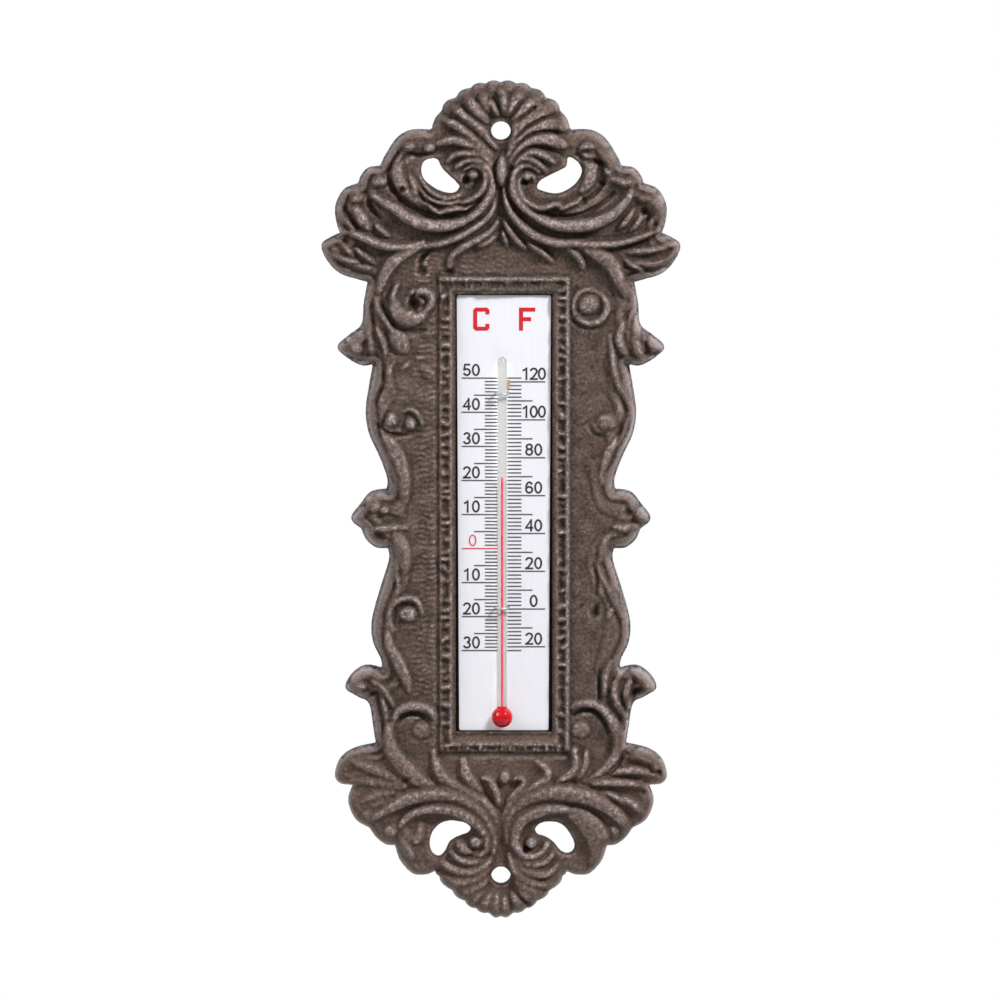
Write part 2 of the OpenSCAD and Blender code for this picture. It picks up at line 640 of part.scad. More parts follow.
module unit_letters() {
    s = letter_stroke;
    t = letter_h;
    w = letter_w;
    serif = 2.3;
    cut = 0.8;
    bar_w = 0.74 * w;
    bar_z = 0.41 * t;
    color("#e2182c") stand(plate_front, ink_t) translate([0, -letter_drop - t]) {
        translate([celsius_letter_x, 0])
            polygon([[cut, 0], [w - cut, 0], [w, cut], [w, serif], [w - s, serif], [w - s, s], [s, s],
                [s, t - s], [w - s, t - s], [w - s, t - serif], [w, t - serif], [w, t - cut], [w - cut, t],
                [cut, t], [0, t - cut], [0, cut]]);
        translate([fahrenheit_letter_x, 0])
            polygon([[0, 0], [s, 0], [s, bar_z], [bar_w, bar_z], [bar_w, bar_z + s], [s, bar_z + s],
                [s, t - s], [w, t - s], [w, t], [0, t]]);
    }
}

module on_tube(z) {
    translate([tube_x, -tube_d, z]) children();
}

module glass_tube() {
    bore_top = stem_top - glass_d / 2 - sealed_l;
    color("#dfe8ea", 0.6) difference() {
        union() {
            on_tube(bulb_z) cylinder(d = glass_d, h = stem_top - glass_d / 2 - bulb_z);
            on_tube(stem_top - glass_d / 2) sphere(d = glass_d);
            on_tube(bulb_z) sphere(d = bulb_d);
        }
        on_tube(bulb_z) cylinder(d = bore_d, h = bore_top - bulb_z);
        on_tube(bulb_z) sphere(d = bulb_d - 2 * bulb_wall);
    }
}

module bulb_spirit() {
    color("#d0041c") on_tube(bulb_z) sphere(r = spirit_ball_r);
}

thread_z = bulb_z + spirit_ball_r + thread_gap;

module spirit_thread() {
    color("#e0203a") on_tube(thread_z) cylinder(d = spirit_d, h = surface_z - surface_l - thread_z, $fn = 24);
}

// The end that is read, with its hollow top
module spirit_surface() {
    hollow_rise = 0.3 * spirit_d;
    color("#e0203a") difference() {
        on_tube(surface_z - surface_l) cylinder(d = spirit_d, h = surface_l, $fn = 24);
        on_tube(surface_z + hollow_rise) sphere(d = spirit_d, $fn = 24);
    }
}

// A wire staple over the stem, with its legs through the plate
module clip(drop) {
    leg_l = tube_d - plate_back + leg_reach;
    color("#b9b6ae") translate([tube_x, -tube_d, plate_top - drop]) {
        rotate([0, 0, 180]) rotate_extrude(angle = 180) translate([clip_r, 0]) circle(d = wire_d, $fn = 24);
        for (s = [-1, 1]) translate([s * clip_r, 0, 0]) rotate([-90, 0, 0])
            cylinder(d = wire_d, h = leg_l, $fn = 24);
    }
}

module upper_clip() {
    clip(clip_drops[0]);
}

module lower_clip() {
    clip(clip_drops[1]);
}

// A dab of cement on the plate beside the stem
module tube_cement() {
    dab_d = 0.9;
    dab_l = 2.4;
    dab_off_glass = 0.2;
    dab_off_clip = 0.8;
    dab_proud = 0.15;
    dab_x = tube_x + clip_r + dab_off_glass;
    dab_z = plate_top - upper_clip_drop + wire_d / 2 + dab_off_clip + dab_d / 2;
    color("#b9855a") intersection() {
        translate([dab_x, -plate_front - dab_proud, dab_z]) union() {
            cylinder(d = dab_d, h = dab_l, $fn = 24);
            sphere(d = dab_d, $fn = 24);
            translate([0, 0, dab_l]) sphere(d = dab_d, $fn = 24);
        }
        translate([dab_x - dab_d, -plate_front - 2 * dab_d - ink_t, dab_z - dab_d])
            cube([2 * dab_d, 2 * dab_d, dab_l + 2 * dab_d]);
    }
}

cast_frame();
scale_plate();
upper_pad();
lower_pad();
celsius_lines();
celsius_figures();
fahrenheit_lines();
fahrenheit_figures();
zero_mark();
unit_letters();
glass_tube();
bulb_spirit();
spirit_thread();
spirit_surface();
upper_clip();
lower_clip();
tube_cement();
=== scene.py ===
"""Wall thermometer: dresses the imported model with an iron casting, a printed plate and a spirit tube."""

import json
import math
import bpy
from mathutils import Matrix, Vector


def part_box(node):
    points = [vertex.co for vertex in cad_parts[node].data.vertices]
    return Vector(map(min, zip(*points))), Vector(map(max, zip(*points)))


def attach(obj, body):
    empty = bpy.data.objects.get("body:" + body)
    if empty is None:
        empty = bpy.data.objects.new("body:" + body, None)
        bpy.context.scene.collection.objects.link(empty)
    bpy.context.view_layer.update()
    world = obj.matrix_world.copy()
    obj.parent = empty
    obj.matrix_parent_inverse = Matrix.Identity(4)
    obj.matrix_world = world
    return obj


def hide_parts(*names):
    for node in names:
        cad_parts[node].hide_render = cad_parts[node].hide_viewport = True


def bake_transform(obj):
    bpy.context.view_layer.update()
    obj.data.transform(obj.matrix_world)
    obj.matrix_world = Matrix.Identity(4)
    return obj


bl_info = {
    "name": "Wall Thermometer",
    "version": (1, 0, 0),
    "blender": (4, 5, 0),
    "location": "View3D > Sidebar > Thermometer",
    "description": "Builds a cast-iron wall thermometer with a printed plate and a spirit tube",
    "category": "Object",
}

import bpy
import numpy as np
from mathutils import Vector
from mathutils.geometry import delaunay_2d_cdt

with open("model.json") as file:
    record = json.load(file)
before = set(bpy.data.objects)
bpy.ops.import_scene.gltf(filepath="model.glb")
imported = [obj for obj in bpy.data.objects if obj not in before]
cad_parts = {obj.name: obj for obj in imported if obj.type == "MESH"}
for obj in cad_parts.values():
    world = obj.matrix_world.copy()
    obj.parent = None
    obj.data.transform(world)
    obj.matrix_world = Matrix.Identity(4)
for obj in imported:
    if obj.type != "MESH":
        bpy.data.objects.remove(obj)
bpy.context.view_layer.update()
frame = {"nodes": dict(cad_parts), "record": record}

MM = 0.001


def node_box(name):
    """Lowest and highest corners of a node, in millimetres."""
    low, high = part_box(name)
    return np.array(low) / MM, np.array(high) / MM


cast_low, cast_high = node_box("cast_frame")
plate_low, plate_high = node_box("scale_plate")
tube_low, tube_high = node_box("glass_tube")
drop_low, drop_high = node_box("bulb_spirit")
thread_low, thread_high = node_box("spirit_thread")
end_low, end_high = node_box("spirit_surface")

# Window and plate, in millimetres: across from the screw holes, and up from the upper one
WINDOW_X = (plate_low[0] + plate_high[0]) / 2
PLATE_W = plate_high[0] - plate_low[0]
PLATE_TOP = plate_high[2]
PLATE_BOTTOM = plate_low[2]

# Glass tube and the spirit in it, in millimetres
TUBE_X = (tube_low[0] + tube_high[0]) / 2
TUBE_DEPTH = -(tube_low[1] + tube_high[1]) / 2
BULB_R = (tube_high[0] - tube_low[0]) / 2
BULB_Z = tube_low[2] + BULB_R
STEM_TOP = tube_high[2]
STEM_R = 1.55
DROP_R = (drop_high[0] - drop_low[0]) / 2
THREAD_R = (thread_high[0] - thread_low[0]) / 2
# Radius of the fillet between bulb and stem
NECK = 0.08
# Radius at which the spirit leaves the bulb's round form, and how far above the bulb it is a thread
FUNNEL_R = 1.5
FUNNEL_RISE = 0.4
# Rings of the thread
COLUMN_RINGS = 90
# Steps of the bulb's round form, the fillet, the stem's rounded tip and the narrowing spirit
ROUND_STEPS = 40
FILLET_STEPS = 9
TIP_STEPS = 10
FUNNEL_STEPS = 13
# Sides of the tube, of the spirit in the bulb and of the thread
TUBE_SIDES = 64
DROP_SIDES = 48
THREAD_SIDES = 24
# How much broader the printed figures' strokes are than the drawn ones, on each side
FIGURE_GROW = 0.09

# Stage, in metres: the point that the camera looks at, its scale, and the floor and light
VIEW_X = -0.0003
VIEW_Z = -0.1235
SENSOR = 36
IMAGE_SIZE = 1000
PIXELS_PER_METRE = 3006
FLOOR_Z = -0.62
FLOOR_SIZE = 3
FLOOR_LIFT = 0.55
WORLD_LIGHT = 0.25
# How bright the world is in mirrors, so that its white lies only thinly over glass and wax
MIRROR_LIGHT = 0.3
# Key lamp on the right, and the lamp on the left with its share of the key lamp's power
KEY_PLACE = (0.62, -0.6, 0.55)
KEY_SIZE = 0.22
LEFT_PLACE = (-0.7, -0.35, 0.3)
LEFT_SIZE = 0.5
LEFT_SHARE = 0.3

# The casting is drawn round a window of these sizes, and follows the real window from there
DRAWN_BORDER = 22
DRAWN_WINDOW_TOP = -54.8
DRAWN_WINDOW_BOTTOM = -199.3
DRAWN_LOWER_HOLE = -247.8
# How far past the screw holes drawn and real points are matched
FAR = 100

# How far apart the points of the casting's front are, in millimetres, and how far the grid passes its outline
GRID = 0.5
MARGIN = 1
# Steps from one drawn point to the next
CURVE_STEPS = 8
OPENING_STEPS = 5
# How far from the outline and from the openings the distance to them is worked out
EDGE_REACH = 9
LIP_REACH = 5
# Least distance of a grid point from the casting's line, as a share of the grid, and a length that is none
LINE_GAP = 0.15
TINY = 1e-6
# Height of the casting's upright side wall, and of its highest scroll above the wall
SIDE_H = 2.4
TOP_H = -cast_low[1]
# Height at which scrolls are rooted, height at which they run out, and how blunt their ends are
ROOT_H = 4.8
END_H = 5.6
RUN_IN = 0.08
# How much broader than their crests the scrolls are at their feet
SPREAD = 1.6
# How much broader the scrolls are in the crest's and the foot's fans, as (height up, share)
BROADER = [(-264, 1.75), (-240, 1.5), (-224, 1.2), (-206, 1.15), (-200, 1), (-20, 1), (-12, 1.15), (-2, 1.15)]
# How the ground swells between scrolls: strength, rounds of softening, and where inside the edge it starts
SWELL = 1.6
SWELL_ROUNDS = 30
SWELL_FROM = 2
SWELL_RUN = 2
# How strongly forms are set off from their surroundings, and how wide those are taken
CRISP = 0.8
CRISP_ROUNDS = 10
# Scallops along the edges of both fans: how many to half a turn round the screw hole, and their depth
SCALLOPS = 10
SCALLOP_DEPTH = 0.7
# Depth of the pocket's floor, and the clearance round the plate in it
WEB_T = 2.4
PLATE_GAP = 0.5
# Widths of the border round the pocket: the smooth slope and the beaded moulding
SLOPE_W = 1.8
BEAD_W = 4.1
# Foot all round the hollow back, depth and draft of that hollow, and the solid border round the pocket
FOOT_W = 2.9
HOLLOW = 2.0
HOLLOW_DRAFT = 0.5
BACK_BORDER = 3.0
# The back keeps one in so many points of the front's grid, and of its hollow's edges
BACK_STEP = 8
BACK_EDGE_STEP = 2


# Lobes of the right-hand outline, from the top of the crest to the foot's tip
LOBES = [
    [(0, 16.5), (4, 16.2), (8.7, 15.2)],
    [(8.7, 15.2), (12.8, 13.2), (15.6, 11)],
    [(15.6, 11), (18.6, 9), (21, 5.2), (23.6, 0.2)],
    [(23.6, 0.2), (28.5, 0.4), (34, -2.2), (38.2, -8.2), (40, -12)],
    [(40, -12), (44, -12.6), (46.4, -15.3), (47.2, -17.7)],
    [(47.2, -17.7), (52, -19.8), (54.8, -25), (54.6, -30), (53.3, -34.3)],
    [(53.3, -34.3), (56.7, -35.9), (59.5, -38.4), (57.5, -43.5), (53.3, -47.7), (47, -49.8),
        (44.2, -50.6)],
    [(44.2, -50.6), (45.5, -57.5), (46.3, -64.8), (50.5, -68.4), (54.2, -72), (51.5, -75.3),
        (46.3, -78.2), (42.5, -77.8)],
    [(42.5, -77.8), (43.7, -84.5), (44.9, -93), (43.9, -100.5), (40.2, -108.8), (37.8, -115.5),
        (38, -119.3)],
    [(38, -119.3), (43.2, -120.3), (46.6, -124.2), (49.8, -129), (46.4, -132.4)],
    [(46.4, -132.4), (44.9, -135.8), (41.6, -138.6), (37.6, -138.9)],
    [(37.6, -138.9), (37.3, -143), (40.4, -153), (43, -163), (42.6, -170), (40.1, -175.5), (39.5, -179)],
    [(39.5, -179), (45, -178), (49.5, -180.8), (51.8, -185.4), (47.7, -188.4), (44, -190.7),
        (42.6, -198.4), (41.7, -204)],
    [(41.7, -204), (49, -205.8), (53.6, -209.2), (55.4, -214.5), (53.6, -217.3), (49.3, -217.8)],
    [(49.3, -217.8), (51, -223), (48.6, -229.2), (43.8, -232.3)],
    [(43.8, -232.3), (41.6, -235.4), (38.5, -237.7), (35.4, -238)],
    [(35.4, -238), (33.6, -243.2), (29.5, -247.5), (25.5, -248), (22, -246.7)],
    [(22, -246.7), (20, -250.3), (16, -254.3)],
    [(16, -254.3), (12.5, -257.2), (8.9, -259.7)],
    [(8.9, -259.7), (5.6, -261), (3.4, -261.6)],
    [(3.4, -261.6), (2, -262.4), (0, -262.7)],
]

# Openwork, as closed outlines: the crest's and the foot's, left and right, each measured outwards
OPENINGS = {
    -1: [
        [(23.7, -9.2), (21, -9.4), (19.3, -12.5), (15.3, -16.4), (13.7, -18.6), (15.8, -20.8),
            (20.4, -20), (24.8, -17), (26.3, -14), (25.8, -10.6)],
        [(17.2, -229.4), (12.6, -229.9), (10.2, -231.4), (10.8, -233.6), (14.6, -235.1), (17.2, -236.9),
            (18.6, -239.8), (20.6, -241.5), (22.9, -240.4), (23.8, -237.2), (22.9, -233.2),
            (20.4, -230.5)],
    ],
    1: [
        [(22.4, -8.6), (25.7, -10.6), (26.7, -14.2), (24, -18.4), (18.7, -21), (13, -19.9), (12, -18.6),
            (13.4, -16.2), (20, -12.8), (21.7, -11.4)],
        [(11.4, -232.4), (12.8, -230.5), (16.4, -229.7), (20, -230.4), (22.7, -233.1), (24.5, -237),
            (24.1, -239.6), (22, -240.6), (19.8, -239.6), (17.6, -237), (15, -235.2), (12.2, -234.2)],
    ],
}

# Ridges: half width, height above the wall, points measured outwards and up from the upper screw hole
LEFT_RIDGES = [
    (0.7, 9.2, [(4, 10.8), (2.6, 8.4), (0.9, 5.4)]),
    (1.2, 9.0, [(6.4, 12.2), (5.4, 9.6), (3.8, 6)]),
    (1.4, 9.6, [(10.9, 10.6), (8.2, 7.4), (4.6, 3)]),
    (1.2, 9.6, [(15.4, 7.8), (10.8, 4.1), (6.6, 0.4), (1.6, -5.7)]),
    (1.2, 9.6, [(19.2, 3.8), (15, 2.2), (11.8, 0), (6.6, -4.8), (1.9, -9.5)]),
    (1.2, 9.7, [(21, -4.2), (15.5, -2.9), (9, -4.8), (4.3, -8.5), (1.5, -13.2)]),
    (0.9, 9.8, [(17.6, -9.9), (14.6, -7.6), (9, -7.3), (4.3, -9.5), (2.2, -13.2), (1.5, -16.9)]),
    (1.3, 10.6, [(14.6, -11.8), (11.3, -9.7), (7.1, -9.9), (4.1, -12.7), (2.9, -16.9), (4.1, -21.6),
        (7.1, -26.3), (11.8, -29.8), (17.9, -31.4)]),
    (1.5, 10.8, [(7.1, -26.3), (11.8, -29.8), (17.9, -31.4), (24.9, -31), (30.5, -28.9), (34.7, -25.8),
        (38.9, -23.5), (42, -21.4)]),
    (0.9, 10.2, [(12.2, -12.6), (9, -11.5), (5.7, -12.7), (4.9, -16), (6.2, -19.7), (9.4, -22.4),
        (13.6, -24)]),
    (1.0, 10.2, [(1.5, -19.6), (2.9, -25.8), (6.2, -30), (13.2, -34.7), (20.2, -37.3), (26.4, -38.3)]),
    (1.2, 9.6, [(53.2, -33), (46.9, -34.7), (40.8, -37.3), (34.2, -38.7), (29.6, -38.2), (25.4, -36.8)]),
    (1.6, 9.4, [(25.8, -37.6), (32.4, -40.8), (36.6, -44.5), (38.9, -48.8), (40.5, -53.6)]),
    (1.1, 9.4, [(1.2, -30), (3.4, -33), (6.2, -35), (10.8, -37.3), (14.6, -39.9), (16.5, -42.2),
        (16.9, -45.4)]),
    (0.7, 8.6, [(1.8, -34.7), (5.2, -37.2), (8.8, -38.2)]),
    (1.4, 8.8, [(48.5, -24.8), (45.9, -29.1), (43.4, -33)]),
    (0.8, 8.4, [(41.9, -30.8), (39.4, -33), (36.8, -35.4)]),
    (0.6, 8.6, [(53.6, -25.6), (51.6, -29.6), (48, -33.2)]),
    (0.7, 8.2, [(57.9, -40.7), (51, -42.8), (46, -43.6)]),
    (0.7, 8.4, [(53.4, -36.8), (51, -39), (48.8, -41.8)]),
    (0.7, 8.4, [(48.6, -38.6), (45, -41.4), (41.4, -44.2)]),
    (0.6, 8.0, [(49, -44.4), (45.4, -45.2), (42, -45.4)]),
    (0.5, 9.2, [(26.4, -15.2), (24.9, -18.3), (22.1, -20.9), (17.9, -22.3), (13.6, -21.4)]),
    (0.6, 9.2, [(27.6, -16.2), (25.8, -20.2), (22.3, -22.9), (17.4, -24), (12.6, -23)]),
    (0.6, 9.5, [(26.8, -22.6), (23.5, -24.7), (20.7, -27), (18.3, -26.3), (14.1, -25.6), (11.3, -25.8),
        (8.6, -23.6)]),
    (1.6, 8.9, [(33.4, -9.4), (34, -13.6), (32.2, -18), (28.6, -21.4), (25.6, -24.2)]),
    (1.0, 9.4, [(30.4, -14.4), (28.6, -18.4), (28.2, -23)]),
    (0.7, 8.8, [(34.2, -50.8), (35.8, -54.6), (35.2, -58.4)]),
    (1.9, 9, [(35.8, -55.6), (34.2, -60), (30.9, -62.2), (27.3, -61.6), (24.4, -58.6)]),
    (1.1, 8.8, [(26.6, -61.2), (24, -58.6), (22.9, -56.2), (23.8, -54), (26.8, -53.2), (30, -54)]),
    (0.7, 8.6, [(41.9, -54.6), (40.6, -59.4), (38.1, -62.8), (36, -66.2), (33.4, -68.6)]),
    (2.1, 8.4, [(35.8, -66.2), (33.8, -69.4), (31.4, -73.2)]),
    (0.6, 8.4, [(43.8, -66.8), (43.2, -70), (42.8, -74)]),
    (0.7, 8.2, [(41.3, -65.2), (39, -70), (38, -75)]),
    (0.6, 7.6, [(36.2, -77.2), (37, -79.4), (36.6, -82)]),
    (0.5, 7.0, [(29.2, -75.6), (26.4, -75.2), (23.4, -75.1)]),
    (0.5, 7.2, [(33.2, -79.4), (31.4, -77.8), (29.6, -76.6)]),
    (0.5, 8, [(32.4, -93.2), (30.6, -92.4), (28.4, -93), (26.8, -95.4), (26, -98)]),
    (2.0, 8.7, [(39.4, -99.6), (36.8, -103.4), (34.3, -108), (33, -112.6), (32, -118), (31.9, -122.6)]),
    (1.1, 8, [(42, -132), (38, -131.8), (34, -131.6), (30.6, -131.8)]),
    (1.9, 8.6, [(36, -132.6), (33.4, -136), (32, -140.6), (31.9, -146.6)]),
    (0.6, 7.6, [(34.4, -142), (34.6, -147), (34, -151.6)]),
    (0.8, 8.2, [(36.9, -159.4), (34.6, -156.2), (31.6, -155), (28.6, -155.5), (26.9, -157.7),
        (26, -161)]),
    (1.6, 8.5, [(37.6, -166.6), (36.9, -171), (34.6, -175.2), (32.6, -179.4), (31.2, -183),
        (30.4, -186.4)]),
    (0.7, 8.2, [(44.6, -182), (41.4, -183.4), (38.8, -185.5), (36.7, -189.2), (35.2, -192.4)]),
    (1.4, 8.8, [(48.8, -183.8), (46.8, -181.2), (43.6, -180.4)]),
    (0.6, 8, [(40.6, -187.6), (38.6, -191.6), (38, -196.4)]),
    (1.3, 8.8, [(36, -196.6), (34.6, -193), (31.6, -191.2), (28, -190.9), (24.4, -191.9), (21.9, -194.3),
        (20.9, -197.2)]),
    (1.8, 9.2, [(36.8, -197), (37.6, -201.4), (35.8, -206.6), (32, -211.4), (28, -215.2), (23.6, -218),
        (18.6, -220.2)]),
    (1.6, 9.4, [(22.2, -206.4), (21.2, -211.4), (18.6, -215.4), (13.6, -219.1), (8.3, -221.9),
        (4.4, -225), (1.7, -229.4), (1, -235)]),
    (1.4, 9, [(12.5, -208.6), (11.6, -213.2), (9.5, -216.9), (6.4, -220)]),
    (0.9, 9, [(6.8, -215.2), (4.1, -215.2), (2.3, -218), (0.9, -221.8), (0.4, -225.4)]),
    (1.6, 10.2, [(42.4, -228), (38.4, -225.6), (34, -223.2), (29, -221.3), (23.2, -220.3), (16.6, -220.6),
        (11, -222.7), (6.8, -226.2), (3.9, -230.6), (2.6, -235.4), (2.8, -239.6)]),
    (1.2, 9.9, [(33.6, -231), (31, -227.8), (26.7, -225.6), (21, -224.7), (15.3, -225.4), (10.5, -227.6),
        (6.8, -231), (4.8, -235), (5.2, -238.6), (7.8, -240.6), (11, -239.6)]),
    (0.9, 9.6, [(14.2, -236.6), (12, -238.8), (9.2, -239.6)]),
    (0.8, 9.6, [(16.4, -239.6), (13.6, -241.9), (9.7, -243), (6, -242)]),
    (1.0, 9.5, [(19.4, -243.2), (15.3, -245.4), (11, -246.2), (6.6, -245), (3.4, -241.4)]),
    (1.1, 9.4, [(21, -248), (16.6, -249.5), (11.8, -249.7), (7.5, -247.8), (4, -244.4)]),
    (1.1, 9.3, [(17.6, -253), (11.8, -253), (7.5, -250.8), (4.8, -247.6)]),
    (1.0, 9.2, [(13.8, -256.8), (8.8, -255), (5.6, -251.8)]),
    (1.0, 9.1, [(9.4, -259.3), (5.4, -257), (3.3, -253)]),
    (0.9, 9, [(3.3, -261.2), (1.9, -257.4), (1.5, -253.4)]),
    (1.3, 7.9, [(50, -209.4), (43, -212), (35.6, -215.2), (28, -217.8)]),
    (1.2, 7.8, [(50, -216.2), (42, -216.4), (34, -217.8), (26.4, -219.2)]),
    (1.1, 7.8, [(46.6, -223), (40, -220.6), (32, -219.6)]),
    (1.2, 7.8, [(44.6, -225.2), (40, -223.4), (35, -221.6)]),
    (0.9, 8.4, [(33.2, -234.6), (31.6, -238), (29.6, -241.6)]),
    (1.1, 7.8, [(32.8, -231), (30.8, -234.6), (28.6, -235.4), (27, -233), (26.8, -229.6)]),
]
